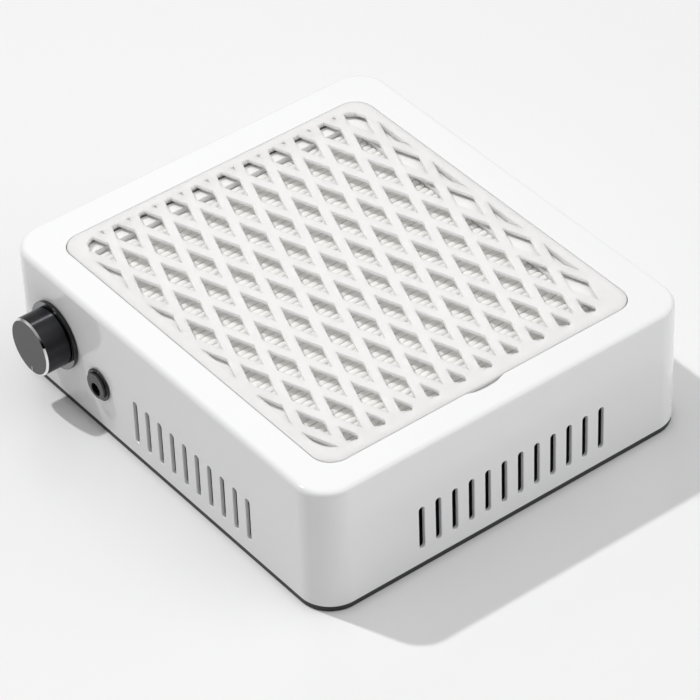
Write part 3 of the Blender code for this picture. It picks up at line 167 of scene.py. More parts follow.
# Angles in degrees: past the first three an edge stays sharp, and past LIP_ANGLE it is rounded in LIP_STEPS.
SHARP = 35
TURNED_SHARP = 30
PAPER_SHARP = 80
LIP_ANGLE = 40
LIP_STEPS = 2

# Points nearer than this are one point, and an edge shorter than this is none.
MERGE_DISTANCE = 1e-7
LEAST_EDGE = 1e-8

# Noises of the finishes, in waves per metre, and their middle value.
CLOUDS = 28.0
POLISH = 75.0
FIBRES = 1400.0
CREASES = 150.0
PULP = 420.0
NOISE_MIDDLE = 0.5

# The darkest and the lightest ring of turned metal, as shares of its colour.
RING_TONES = (0.85, 1.15)

# Camera: it looks at TARGET from that side and height, in degrees, at that distance. Its sensor is in mm.
TARGET = (-0.00021, -0.01358, 0.0350)
CAMERA_AZIMUTH = -36.645
CAMERA_ELEVATION = 40.0605
CAMERA_ROLL = -2.1711
CAMERA_DISTANCE = 1.79606
CAMERA_LENS = 202.64
CAMERA_SENSOR = 36

# A key lamp stands high at the back left. The room is dark but for soft round patches: an azimuth in
# degrees from the front towards the right, an elevation, the radius of the whole patch, and its level.
KEY_PLACE = (-0.60, 1.117, 2.05)
KEY_RADIUS = 0.042
KEY_LEVEL = 1.37
ROOM = [
    (60, 18, 50, 1.0),
    (15, 18, 50, 0.4),
    (150, 18, 50, 0.4),
    (-165, 18, 50, 0.3),
    (30, 55, 45, 0.75),
    (-60, 55, 45, 0.29),
    (-150, 55, 45, 0.25),
    (0, 90, 40, 0.8),
    (-115, 20, 42, 0.35),
    (150, 40, 10, 1.0),
]
BACKDROP_LEVEL = 0.88
FLOOR_SIZE = 12


# Shapes worked out as arrays.


def rounded_rectangle(width, depth, corner):
    """A closed outline, anticlockwise from the right: four quarter circles of the corner's radius.

    Each is centred one radius in from both edges that it joins.
    """
    turn = np.linspace(0, math.pi / 2, CORNER_STEPS + 1)
    angle = (np.arange(4)[:, None] * math.pi / 2 + turn).ravel()
    side = np.repeat([[1, 1], [-1, 1], [-1, -1], [1, -1]], CORNER_STEPS + 1, axis=0)
    centre = side * (np.array([width, depth]) / 2 - corner)
    return centre + corner * np.stack([np.cos(angle), np.sin(angle)], axis=1)


def arc(centre, radius, start, end, steps):
    """Points at even angles on a circle, from the start angle to the end angle."""
    angle = np.linspace(start, end, steps + 1)
    return np.array(centre) + radius * np.stack([np.cos(angle), np.sin(angle)], axis=1)


def stadium(width, height, steps=VENT_STEPS):
    """An upright slot: a half circle above a half circle, as far apart as the height asks."""
    radius = width / 2
    rise = height / 2 - radius
    top = arc((0, rise), radius, 0, math.pi, steps)
    bottom = arc((0, -rise), radius, math.pi, 2 * math.pi, steps)
    return np.concatenate([top, bottom])


def filleted(corners):
    """An open line through the corners (a, b, radius), each turned by an arc that touches both sides.

    With half an angle h between the sides, the arc leaves each side radius / tan(h) from the corner,
    and its centre lies radius / sin(h) along the bisector. A corner of no radius stays as it is.
    """
    line = [np.array(corners[0][:2])]
    for before, (a, b, radius), after in zip(corners, corners[1:-1], corners[2:]):
        here = np.array([a, b])
        if radius == 0:
            line.append(here)
            continue
        back = np.array(before[:2]) - here
        ahead = np.array(after[:2]) - here
        back /= np.linalg.norm(back)
        ahead /= np.linalg.norm(ahead)
        half = math.acos(np.clip(back @ ahead, -1, 1)) / 2
        bisector = (back + ahead) / np.linalg.norm(back + ahead)
        centre = here + bisector * radius / math.sin(half)
        first = here + back * radius / math.tan(half) - centre
        last = here + ahead * radius / math.tan(half) - centre
        share = np.linspace(0, 1, SOFT_STEPS + 1)[:, None]
        spokes = first * (1 - share) + last * share
        spokes *= radius / np.linalg.norm(spokes, axis=1)[:, None]
        line.extend(centre + spokes)
    line.append(np.array(corners[-1][:2]))
    return np.array(line)


def raised(outline, height):
    """A flat outline lifted to a height."""
    return np.column_stack([outline, np.full(len(outline), height)])


def grid_patch(grid, close_rows=False, close_columns=False):
    """Points and four-sided faces of a grid, joined end to end where asked."""
    rows, columns = grid.shape[:2]
    row = np.arange(rows if close_rows else rows - 1)[:, None]
    column = np.arange(columns if close_columns else columns - 1)[None, :]
    next_row = (row + 1) % rows
    next_column = (column + 1) % columns
    corners = [
        row * columns + column,
        row * columns + next_column,
        next_row * columns + next_column,
        next_row * columns + column,
    ]
    faces = np.stack(corners, axis=-1).reshape(-1, 4)
    return grid.reshape(-1, 3), faces.tolist()


def capped(rings):
    """A closed skin over rings of the same count, with a flat face over the first and the last."""
    points, faces = grid_patch(rings, close_columns=True)
    count = rings.shape[1]
    faces.append(list(range(count))[::-1])
    faces.append(list(range(len(points) - count, len(points))))
    return points, faces


def prism(outline, low, high):
    """An outline carried straight up from one height to another."""
    return capped(np.stack([raised(outline, low), raised(outline, high)]))


def hoop(outer, inner, low, high):
    """A ring between two outlines and two heights: four lines joined in a loop."""
    loop = [raised(outer, low), raised(outer, high), raised(inner, high), raised(inner, low)]
    return grid_patch(np.stack(loop), close_rows=True, close_columns=True)


def disc(centre, radius):
    """The closed outline of a small round post or hole."""
    return arc(centre, radius, 0, 2 * math.pi, BOSS_STEPS)[:-1]


def turned(profile, steps=TURN_STEPS):
    """A profile of radius and height carried round Z: x is r cos t, y is r sin t and z is the height."""
    angle = np.arange(steps) / steps * 2 * math.pi
    radius, height = profile[:, :1], profile[:, 1:]
    x = radius * np.cos(angle)
    y = radius * np.sin(angle)
    z = np.broadcast_to(height, x.shape)
    return grid_patch(np.stack([x, y, z], axis=-1), close_columns=True)


def on_wall(points, y, z):
    """Points round Z turned to point out of the left wall, with their axis at that place."""
    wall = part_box("upper_housing")[0][0]
    return np.column_stack([wall - points[:, 2], y + points[:, 0], z + points[:, 1]])


def together(patches):
    """Several patches as one, with their faces numbered on."""
    points, faces, start = [], [], 0
    for patch_points, patch_faces in patches:
        points.append(patch_points)
        faces.extend([[index + start for index in face] for face in patch_faces])
        start += len(patch_points)
    return np.concatenate(points), faces


# Objects.


def new_object(name, points, faces):
    """A mesh object with doubles merged and its faces pointing outwards."""
    mesh = bpy.data.meshes.new(name)
    mesh.from_pydata(points, [], faces)
    tidied(mesh)
    made = bpy.data.objects.new(name, mesh)
    bpy.context.scene.collection.objects.link(made)
    return made


def tidied(mesh):
    """Merges what meets, drops what has no area and points every face outwards."""
    shape = bmesh.new()
    shape.from_mesh(mesh)
    bmesh.ops.remove_doubles(shape, verts=shape.verts, dist=MERGE_DISTANCE)
    bmesh.ops.dissolve_degenerate(shape, edges=shape.edges, dist=LEAST_EDGE)
    bmesh.ops.recalc_face_normals(shape, faces=shape.faces)
    shape.to_mesh(mesh)
    shape.free()


def carved(solid, cutter):
    """Takes the cutter out of the solid for good, and deletes the cutter."""
    cut = solid.modifiers.new("cut", "BOOLEAN")
    cut.operation = "DIFFERENCE"
    cut.solver = "EXACT"
    cut.object = cutter
    seen = solid.evaluated_get(bpy.context.evaluated_depsgraph_get())
    mesh = bpy.data.meshes.new_from_object(seen)
    solid.modifiers.clear()
    solid.data = mesh
    bpy.data.objects.remove(cutter)


def shaded(made, even):
    """Shades every face smoothly. Where asked, broad faces keep their direction and stay flat."""
    made.data.polygons.foreach_set("use_smooth", np.ones(len(made.data.polygons), dtype=bool))
    if even:
        broad = made.modifiers.new("even", "WEIGHTED_NORMAL")
        broad.keep_sharp = True


def smoothed(made, angle=SHARP, even=False):
    """Shades an object smoothly but for edges sharper than the angle in degrees."""
    shaded(made, even)
    made.data.set_sharp_from_angle(angle=math.radians(angle))


def lipped(made, width):
    """Rounds every sharp edge, and keeps the flats beside it flat."""
    lip = made.modifiers.new("lip", "BEVEL")
    lip.width = width
    lip.segments = LIP_STEPS
    lip.limit_method = "ANGLE"
    lip.angle_limit = math.radians(LIP_ANGLE)
    lip.miter_outer = "MITER_ARC"
    lip.use_clamp_overlap = True
    shaded(made, True)


def placed(made, body, slot, *nodes):
    """Puts a finished piece on its body, in the stead of the CAD nodes it stands for."""
    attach(made, body)
    if nodes:
        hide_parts(*nodes)


def finished(made, *looks):
    """Gives an object its finishes, in the order of their numbers."""
    for look in looks:
        made.data.materials.append(look)


# Places taken from the frame.


def middle(node):
    """The middle of a CAD node's box."""
    low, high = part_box(node)
    return (np.array(low) + np.array(high)) / 2


def extent(node):
    """The three sizes of a CAD node's box."""
    low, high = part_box(node)
    return np.array(high) - np.array(low)


# Casing.


def wall_outline(inset):
    """The casing's outline, drawn in all round."""
    width, depth, _ = extent("upper_housing")
    x, y, _ = middle("upper_housing")
    return rounded_rectangle(width - 2 * inset, depth - 2 * inset, CASE_CORNER - inset) + (x, y)


def casing_skin():
    """The open shell: one closed profile carried round rounded rectangles.

    It runs from the inside of the wall's foot out and up the wall, over a quarter circle onto the top,
    in to the opening, down its edge and back under the top to the inside of the wall.
    """
    low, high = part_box("upper_housing")
    turn = np.linspace(0, math.pi / 2, EDGE_STEPS + 1)
    inset = np.concatenate([[CASE_WALL, 0], TOP_EDGE * (1 - np.cos(turn))])
    height = np.concatenate([[low[2], low[2]], high[2] - TOP_EDGE * (1 - np.sin(turn))])
    rings = [raised(wall_outline(i), z) for i, z in zip(inset, height)]
    opening = opening_outline()
    under = high[2] - CASE_WALL
    rings.append(raised(opening, high[2]))
    rings.append(raised(opening, under))
    rings.append(raised(wall_outline(CASE_WALL), under))
    return grid_patch(np.stack(rings), close_rows=True, close_columns=True)


def opening_outline():
    """The opening in the top: the cover's outline, wider by the seam."""
    width, depth, _ = extent("grille_cover")
    x, y, _ = middle("grille_cover")
    return rounded_rectangle(width + 2 * SEAM, depth + 2 * SEAM, OPENING_CORNER) + (x, y)


def notch_cutter():
    """A shallow crescent at the front of the opening: the part of a circle past the edge.

    The circle has the chord and sag that are named, so its radius is (chord^2 / 4 + sag^2) / (2 sag).
    """
    radius = (NOTCH_WIDTH**2 / 4 + NOTCH_DEPTH**2) / (2 * NOTCH_DEPTH)
    half = math.asin(NOTCH_WIDTH / 2 / radius)
    x, y, _ = middle("grille_cover")
    front = y - extent("grille_cover")[1] / 2 - SEAM
    centre = (x + NOTCH_OFFSET, front - NOTCH_DEPTH + radius)
    bow = arc(centre, radius, 1.5 * math.pi - half, 1.5 * math.pi + half, NOTCH_STEPS)
    back = bow[[-1, 0]] + (0, NOTCH_DEPTH)
    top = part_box("upper_housing")[1][2]
    return prism(np.concatenate([bow, back]), top - 2 * CASE_WALL, top + CASE_WALL)


def vent_places(count):
    """Even places of a row about its middle."""
    return (np.arange(count) - (count - 1) / 2) * VENT_PITCH


def vent_cutters():
    """Slots through the front wall, and slots through both side walls at once."""
    low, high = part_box("upper_housing")
    x, y, _ = middle("upper_housing")
    front_rise = low[2] + FRONT_VENT_RISE + VENT_HEIGHT / 2
    side_rise = low[2] + SIDE_VENT_RISE + VENT_HEIGHT / 2
    slot = stadium(VENT_WIDTH, VENT_HEIGHT)
    cutters = []
    for offset in vent_places(FRONT_VENTS):
        points, faces = prism(slot, low[1] - CASE_WALL, low[1] + 2 * CASE_WALL)
        across = x + FRONT_VENTS_X + offset
        upright = [points[:, 0] + across, points[:, 2], points[:, 1] + front_rise]
        cutters.append((np.column_stack(upright), faces))
    for offset in vent_places(SIDE_VENTS):
        for wall in (low[0], high[0]):
            points, faces = prism(slot, wall - 2 * CASE_WALL, wall + 2 * CASE_WALL)
            along = y + SIDE_VENTS_Y + offset
            upright = [points[:, 2], points[:, 0] + along, points[:, 1] + side_rise]
            cutters.append((np.column_stack(upright), faces))
    return cutters


def wall_hole_cutter(node, radius):
    """A round hole through the left wall on a node's axis."""
    _, y, z = middle(node)
    points, faces = prism(disc((0, 0), radius), -2 * CASE_WALL, CASE_WALL)
    return on_wall(points, y, z), faces


def screw_bosses():
    """Round posts down from the top plate, over the screws that go into them."""
    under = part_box("upper_housing")[1][2] - CASE_WALL / 2
    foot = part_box("base_plate")[1][2]
    kinds = [("base_screw", CORNER_BOSS, foot), ("tray_screw", TRAY_BOSS, under - TRAY_BOSS_LENGTH)]
    posts = []
    for number in range(1, 5):
        for stem, radius, low in kinds:
            x, y, _ = middle(f"{stem}_{number}")
            posts.append(prism(disc((x, y), radius), low, under))
    return posts


def painted_shade_skirt(look):
    """Painted shade: a black ring under the walls that darkens the gap beneath the casing.

    It is a ring between two rounded rectangles, standing a little in from the walls and stopping just short
    of the floor.
    """
    outer = wall_outline(SHADE_SKIRT_INSET)
    inner = wall_outline(SHADE_SKIRT_INSET + SHADE_SKIRT_WIDTH)
    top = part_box("upper_housing")[0][2]
    rim = new_object("painted_shade_skirt", *hoop(outer, inner, SHADE_SKIRT_GAP, top))
    smoothed(rim)
    finished(rim, look)
    placed(rim, "casing", "black_moulding")


def casing(look):
    """The shell, cut for its vents, notch, dial and inlet, and the screw posts inside it."""
    shell = new_object("casing_shell", *casing_skin())
    cutters = vent_cutters()
    cutters.append(notch_cutter())
    cutters.append(wall_hole_cutter("dc_socket", WALL_HOLE))
    cutters.append(wall_hole_cutter("dial_trim_ring", DIAL_HOLE))
    carved(shell, new_object("casing_cutters", *together(cutters)))
    lipped(shell, FINE_LIP)
    finished(shell, look)
    placed(shell, "casing", "white_case", "upper_housing")
    posts = new_object("casing_bosses", *together(screw_bosses()))
    smoothed(posts)
    finished(posts, look)
    placed(posts, "casing", "white_case")


# Lattice cover.


def kept_side(outline, start, end):
    """The part of a convex outline to the left of a line, with a point wherever a side crosses it.

    A side that starts at a distance a to the left and ends at b crosses at a / (a - b) of its length.
    """
    run = np.subtract(end, start)
    offset = outline - np.array(start)
    near = run[0] * offset[:, 1] - run[1] * offset[:, 0]
    far = np.roll(near, -1)
    crossing = near * far < 0
    fall = np.where(crossing, near - far, 1)[:, None]
    crossed = outline + (np.roll(outline, -1, axis=0) - outline) * near[:, None] / fall
    both = np.stack([outline, crossed], axis=1)
    return both[np.stack([near >= 0, crossing], axis=1)]


def within(outline, fence):
    """The part of a convex outline inside a convex fence."""
    for start, end in zip(fence, np.roll(fence, -1, axis=0)):
        if len(outline) > 2:
            outline = kept_side(outline, start, end)
    return outline


def diamond(x, y):
    """A hole of the lattice, from its right corner round."""
    half = np.array([HOLE_WIDTH, HOLE_DEPTH]) / 2
    return np.array([[1, 0], [0, 1], [-1, 0], [0, -1]]) * half + (x, y)


def drop(x, apex, front):
    """A teardrop: a circle that rests on the field's front edge, and the two lines from it to a point."""
    heart = front + DROP_RADIUS
    lean = math.asin(DROP_RADIUS / (apex - heart))
    bottom = arc((x, heart), DROP_RADIUS, math.pi - lean, 2 * math.pi + lean, DROP_STEPS)
    return np.concatenate([bottom, [[x, apex]]])


def lattice_outlines(width, depth):
    """Diamonds in rows that step half a cell each time, trimmed to the field, with drops in front."""
    field = rounded_rectangle(width, depth, FIELD_CORNER)
    front = -depth / 2
    columns = int(width / 2 / CELL_WIDTH)
    first = front + DROP_LENGTH + (CELL_DEPTH - HOLE_DEPTH) / 2
    rows = 1 + int((depth / 2 - first) / CELL_DEPTH)
    apex = first - (CELL_DEPTH - HOLE_DEPTH) / 2
    web_top = np.array([WEB_SHIFT - (columns + 0.5) * CELL_WIDTH, apex])
    web_end = web_top + (HOLE_WIDTH / 2, -HOLE_DEPTH / 2)
    strip = (CELL_WIDTH - HOLE_WIDTH, 0)
    outlines = [kept_side(field, web_end, web_top)]
    for row in range(rows):
        for column in range(-columns, columns + 1):
            hole = diamond(column * CELL_WIDTH, first + row * CELL_DEPTH)
            if (row, column) == (0, -columns):
                hole = kept_side(hole, web_top + strip, web_end + strip)
            outlines.append(within(hole, field))
    for row in range(rows + 1):
        y = first + (row - 0.5) * CELL_DEPTH
        for column in range(-columns - 1, columns + 1):
            x = (column + 0.5) * CELL_WIDTH
            if row > 0:
                outlines.append(within(diamond(x, y), field))
            elif abs(x) < columns * CELL_WIDTH:
                outlines.append(drop(x, apex, front))
    return [hole for hole in outlines if len(hole) > 2 and min(np.ptp(hole, axis=0)) >= SMALLEST_HOLE]


def cover_panel():
    """Rounded rectangles stacked up: straight sides, then a crown that is a quarter of an ellipse."""
    width, depth, _ = extent("grille_cover")
    low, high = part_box("grille_cover")
    corner = OPENING_CORNER - SEAM
    turn = np.linspace(0, math.pi / 2, EDGE_STEPS + 1)
    inset = np.concatenate([[0], CROWN_BAND * (1 - np.cos(turn))])
    height = np.concatenate([[low[2]], high[2] - CROWN * (1 - np.sin(turn))])
    rings = [
        raised(rounded_rectangle(width - 2 * i, depth - 2 * i, max(corner - i, corner / 2)), z)
        for i, z in zip(inset, height)
    ]
    return capped(np.stack(rings))


def lattice_cover(look):
    """The panel, thinned from below by a pocket and pierced by the lattice."""
    width, depth, height = extent("grille_cover")
    low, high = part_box("grille_cover")
    x, y, _ = middle("grille_cover")
    panel = new_object("lattice_cover", *cover_panel())
    field = (width - 2 * FIELD_BORDER, depth - 2 * FIELD_BORDER)
    pocket = prism(rounded_rectangle(*field, FIELD_CORNER), low[2] - height, high[2] - COVER_SKIN)
    carved(panel, new_object("cover_pocket", *pocket))
    holes = [prism(outline, low[2] - height, high[2] + height) for outline in lattice_outlines(*field)]
    carved(panel, new_object("cover_holes", *together(holes)))
    panel.data.transform(Matrix.Translation((x, y, 0)))
    lipped(panel, COVER_LIP)
    finished(panel, look)
    placed(panel, "grille", "white_cover", "grille_cover")


# Filter.


def rim_opening():
    """The lowest and highest x and y of the hole in the filter's rim."""
    low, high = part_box("filter_frame")
    return (low[0] + RIM_LEFT, low[1] + RIM_FRONT), (high[0] - RIM_RIGHT, high[1] - RIM_BACK)


def filter_rim(look):
    """A ring between two rounded rectangles, and the thin bars that carry the paper."""
    low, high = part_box("filter_frame")
    hole = np.array(rim_opening())
    outer = rounded_rectangle(high[0] - low[0], high[1] - low[1], RIM_CORNER) + middle("filter_frame")[:2]
    inner = rounded_rectangle(*(hole[1] - hole[0]), RIM_INNER_CORNER) + hole.mean(axis=0)
    rim = new_object("filter_rim", *hoop(outer, inner, low[2], high[2]))
    lipped(rim, RIM_LIP)
    finished(rim, look)
    placed(rim, "filter", "white_moulding", "filter_frame")
    bars = new_object("filter_bars", *together(grid_bars(hole, low[2])))
    smoothed(bars)
    finished(bars, look)
    placed(bars, "filter", "white_moulding")


def grid_bars(hole, low):
    """Bars at even places along each side of the hole, from rim to rim."""
    bars = []
    for along in (0, 1):
        run = hole[1, along] - hole[0, along]
        bays = round(run / GRID_BAR_PITCH)
        for number in range(1, bays):
            reach = hole + np.array([[-RIM_LIP], [RIM_LIP]])
            centre = hole[0, along] + number * run / bays
            reach[:, along] = centre - GRID_BAR / 2, centre + GRID_BAR / 2
            (left, front), (right, back) = reach
            corners = np.array([(left, front), (right, front), (right, back), (left, back)])
            bars.append(prism(corners, low, low + GRID_BAR_HEIGHT))
    return bars


def pleat_line(depth):
    """One pleat's height against its place, as even steps: a half ellipse on two close, steep sides.

    Both are shares of a pleat's length and of the fold's depth. The slit between neighbours is open by
    PLEAT_SLIT at the top, and closes to nothing at the bottom.
    """
    half = (1 - PLEAT_SLIT / PLEAT_PITCH) / 2
    turn = np.linspace(0, math.pi, PLEAT_STEPS - 1)
    place = np.concatenate([[0], 0.5 - half * np.cos(turn), [1]])
    crest = PLEAT_CREST / depth
    height = np.concatenate([[0], 1 - crest * (1 - np.sin(turn)), [0]])
    return place[:-1], height[:-1]


def slow_waves(chance, x, y, waves):
    """A sum of plane waves in random directions: each is (length, height)."""
    total = 0
    for length, height in waves:
        angle, phase = chance.uniform(0, 2 * math.pi, 2)
        run = x * math.cos(angle) + y * math.sin(angle)
        total = total + height * np.sin(2 * math.pi * run / length + phase)
    return total


def pleated_paper(look):
    """One sheet in soft pleats, each with a crest of its own height and a line that sways.

    The crests droop by a random share of PLEAT_DROOP, and slow waves crumple the whole sheet.
    """
    hole = np.array(rim_opening())
    low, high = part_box("filter_media")
    left, front = hole[0] + PAPER_GAP
    right, back = hole[1] - PAPER_GAP
    chance = np.random.default_rng(PAPER_SEED)
    pleats = round((back - front) / PLEAT_PITCH)
    depth = high[2] + PAPER_RISE - low[2] - PAPER
    place, height = pleat_line(depth)
    share = np.append((np.arange(pleats)[:, None] + place).ravel(), pleats)[:, None] / pleats
    height = np.append(np.tile(height, pleats), 0)[:, None]
    x = np.linspace(left, right, PAPER_COLUMNS + 1)[None, :]
    y = front + share * (back - front) + 0 * x
    droop = np.repeat(chance.uniform(0, PLEAT_DROOP, pleats), len(place))
    droop = np.append(droop, 0)[:, None]
    crumple = slow_waves(chance, x, y, CRUMPLE_WAVES) - sum(wave[1] for wave in CRUMPLE_WAVES)
    lift = np.minimum(PAPER_CRUMPLE * crumple - droop, 0)
    z = low[2] + PAPER + depth * height + lift * height
    sway = slow_waves(chance, x, np.round(share * pleats) * SWAY_STRIDE, SWAY_WAVES)
    free = np.clip(np.minimum(share, 1 - share) * pleats, 0, 1)
    y = y + PLEAT_SWAY * sway * height * free
    top = np.stack(np.broadcast_arrays(x, y, z), axis=-1)
    under = top - (0, 0, PAPER)
    points, faces = grid_patch(np.concatenate([top, under[:, ::-1]], axis=1), close_columns=True)
    count = 2 * (PAPER_COLUMNS + 1)
    index = np.arange(PAPER_COLUMNS)
    for start in (0, len(points) - count):
        near, far = start + index, start + count - 1 - index
        faces.extend(np.stack([near, near + 1, far - 1, far], axis=1).tolist())
    paper = new_object("pleated_paper", points, faces)
    smoothed(paper, PAPER_SHARP)
    finished(paper, look)
    placed(paper, "filter", "filter_paper", "filter_media")


# Dial and power inlet.


def painted(made, mark):
    """Gives each face the finish number that mark() works out from the faces' middles."""
    middles = np.empty(len(made.data.polygons) * 3)
    made.data.polygons.foreach_get("center", middles)
    made.data.polygons.foreach_set("material_index", mark(middles.reshape(-1, 3)).astype(np.int32))


def knob(side, face, edge):
    """A turned dial, hollow behind, with a chamfer round its flat face."""
    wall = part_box("upper_housing")[0][0]
    low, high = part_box("speed_knob")
    _, y, z = middle("speed_knob")
    radius = (high[2] - low[2]) / 2
    back, front = wall - high[0], wall - low[0] - POINTER_PROUD
    shoulder = back + KNOB_RECESS_DEPTH
    end = shoulder + KNOB_BORE_DEPTH
    profile = filleted([
        (0, front, 0),
        (radius - KNOB_CHAMFER, front, KNOB_SOFT),
        (radius, front - KNOB_CHAMFER, KNOB_SOFT),
        (radius, back, KNOB_SOFT * 2),
        (KNOB_RECESS, back, KNOB_SOFT),
        (KNOB_RECESS, shoulder, 0),
        (KNOB_BORE, shoulder, 0),
        (KNOB_BORE, end, 0),
        (0, end, 0),
    ])
    points, faces = turned(profile)
    dial = new_object("dial_knob", on_wall(points, y, z), faces)
    smoothed(dial, TURNED_SHARP, even=True)
    finished(dial, side, face, edge)

    def finish_of(middles):
        """0 for the side and the back, 1 for the face and 2 for the chamfer."""
        out = wall - middles[:, 0]
        reach = np.hypot(middles[:, 1] - y, middles[:, 2] - z)
        on_face = (out > front - KNOB_SOFT) & (reach < radius - KNOB_CHAMFER)
        on_edge = (out > front - KNOB_CHAMFER) & ~on_face
        return on_face + 2 * on_edge

    painted(dial, finish_of)
    placed(dial, "dial", "dial_metal", "speed_knob")


def pointer(look):
    """The inlaid mark: a bar with round ends, a hair proud of the knob's face."""
    low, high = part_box("knob_pointer")
    y, z = middle("knob_pointer")[1:] + POINTER_SHIFT
    outline = stadium(POINTER_WIDTH, extent("knob_pointer")[2], SOFT_STEPS)
    points, faces = prism(outline, high[0], low[0])
    bar = new_object("dial_mark", np.column_stack([points[:, 2], points[:, 0] + y, points[:, 1] + z]), faces)
    smoothed(bar)
    finished(bar, look)
    placed(bar, "dial", "white_mark", "knob_pointer")


def trim_ring(face_look, side_look):
    """A flat turned ring on the dial's axis, with a bright face and a black side."""
    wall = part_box("upper_housing")[0][0]
    low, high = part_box("dial_trim_ring")
    _, y, z = middle("dial_trim_ring")
    radius = (high[2] - low[2]) / 2
    back, face = wall - high[0], wall - low[0]
    profile = filleted([
        (RING_BORE, back, 0),
        (RING_BORE, face, 0),
        (radius, face, RING_SOFT),
        (radius, back, 0),
        (RING_BORE, back, 0),
    ])
    points, faces = turned(profile)
    ring = new_object("dial_ring", on_wall(points, y, z), faces)
    smoothed(ring, TURNED_SHARP, even=True)
    finished(ring, face_look, side_look)
    painted(ring, lambda middles: np.hypot(middles[:, 1] - y, middles[:, 2] - z) > radius - RING_SOFT)
    placed(ring, "casing", "trim_black", "dial_trim_ring")


def power_inlet(gloss, satin):
    """The round inlet: a glossy flange, a satin boss on it, and a bore set below the middle.

    Every ring of the turned profile that is narrower than the body behind is moved down by BORE_DROP.
    """
    low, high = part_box("dc_socket")
    _, y, z = middle("dc_socket")
    flange = (high[2] - low[2]) / 2
    profile = filleted([
        (PIN_HOLE, SOCKET_FLOOR, 0),
        (SOCKET_BORE, SOCKET_FLOOR, 0),
        (SOCKET_BORE, SOCKET_BOSS_FACE, SOCKET_SOFT / 2),
        (SOCKET_BOSS, SOCKET_BOSS_FACE, SOCKET_SOFT),
        (SOCKET_BOSS, SOCKET_FLANGE_FACE, 0),
        (flange, SOCKET_FLANGE_FACE, SOCKET_SOFT),
        (flange, SOCKET_FLANGE_FOOT, 0),
        (SOCKET_THREAD, SOCKET_FLANGE_FOOT, 0),
        (SOCKET_THREAD, SOCKET_THREAD_END, 0),
        (SOCKET_BACK, SOCKET_THREAD_END, 0),
        (SOCKET_BACK, SOCKET_END, 0),
        (PIN_HOLE, SOCKET_END, 0),
        (PIN_HOLE, SOCKET_FLOOR, 0),
    ])
    points, faces = turned(profile)
    narrow = np.repeat(profile[:, 0] < SOCKET_BACK, TURN_STEPS)
    points[narrow, 1] -= BORE_DROP
    inlet = new_object("power_inlet", on_wall(points, y, z), faces)
    smoothed(inlet, TURNED_SHARP, even=True)
    finished(inlet, gloss, satin)
    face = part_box("upper_housing")[0][0] - SOCKET_BOSS_FACE
    painted(inlet, lambda middles: middles[:, 0] < face + SOCKET_SOFT / 2)
    placed(inlet, "casing", "socket_black", "dc_socket")


def inlet_pin(look):
    """The round pin in the bore's middle, with a domed tip."""
    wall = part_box("upper_housing")[0][0]
    _, y, z = middle("dc_socket")
    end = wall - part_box("socket_pin")[1][0]
    profile = filleted([(0, PIN_TIP, 0), (PIN, PIN_TIP, PIN * PIN_DOME_SHARE), (PIN, end, 0), (0, end, 0)])
    points, faces = turned(profile, BOSS_STEPS)
    pin = new_object("inlet_pin", on_wall(points - (0, BORE_DROP, 0), y, z), faces)
    smoothed(pin)
    finished(pin, look)
    placed(pin, "casing", "brass", "socket_pin")


# Finishes: shared effects first.


def feed(tree, socket, value):
    """Links an input to the output given, or sets it to the value given."""
    if isinstance(value, bpy.types.NodeSocket):
        tree.links.new(value, socket)
    else:
        socket.default_value = value


def add(tree, kind, **settings):
    """A node with its properties set. A key that names an input, with _ for a space, feeds that input."""
    node = tree.nodes.new(f"ShaderNode{kind}")
    for key, value in settings.items():
        label = key.replace("_", " ")
        if label in node.inputs:
            feed(tree, node.inputs[label], value)
        else:
            setattr(node, key, value)
    return node


def reckoned(tree, operation, *terms):
    """The result of a sum whose terms are numbers or outputs."""
    node = add(tree, "Math", operation=operation)
    for socket, term in zip(node.inputs, terms):
        feed(tree, socket, term)
    return node.outputs[0]


def noise(tree, **settings):
    """The grey value of a noise."""
    return add(tree, "TexNoise", **settings).outputs["Fac"]


def spread(tree, value, low, high):
    """A value between 0 and 1, moved to between the two ends."""
    return add(tree, "MapRange", Value=value, To_Min=low, To_Max=high).outputs["Result"]


def toned(tree, colour, factor):
    """A colour made darker or lighter by a factor."""
    return add(tree, "HueSaturation", Color=colour, Value=factor).outputs["Color"]


def relief(tree, height, distance, **below):
    """The normal of a surface raised by that height, over the relief below it if there is one."""
    return add(tree, "Bump", Strength=1.0, Height=height, Distance=distance, **below).outputs["Normal"]


def new_group(name, inputs):
    """A shared effect's tree, what is given to it, what it gives, and the place in the object.

    Each input is (name, kind, value). What it gives is a colour, a roughness and a normal.
    """
    group = bpy.data.node_groups.new(name, "ShaderNodeTree")
    for label, kind, value in inputs:
        socket = group.interface.new_socket(name=label, in_out="INPUT", socket_type=f"NodeSocket{kind}")
        socket.default_value = value
    for label, kind in (("Colour", "Color"), ("Roughness", "Float"), ("Normal", "Vector")):
        group.interface.new_socket(name=label, in_out="OUTPUT", socket_type=f"NodeSocket{kind}")
    given = group.nodes.new("NodeGroupInput").outputs
    out = group.nodes.new("NodeGroupOutput").inputs
    return group, given, out, add(group, "TexCoord").outputs["Object"]


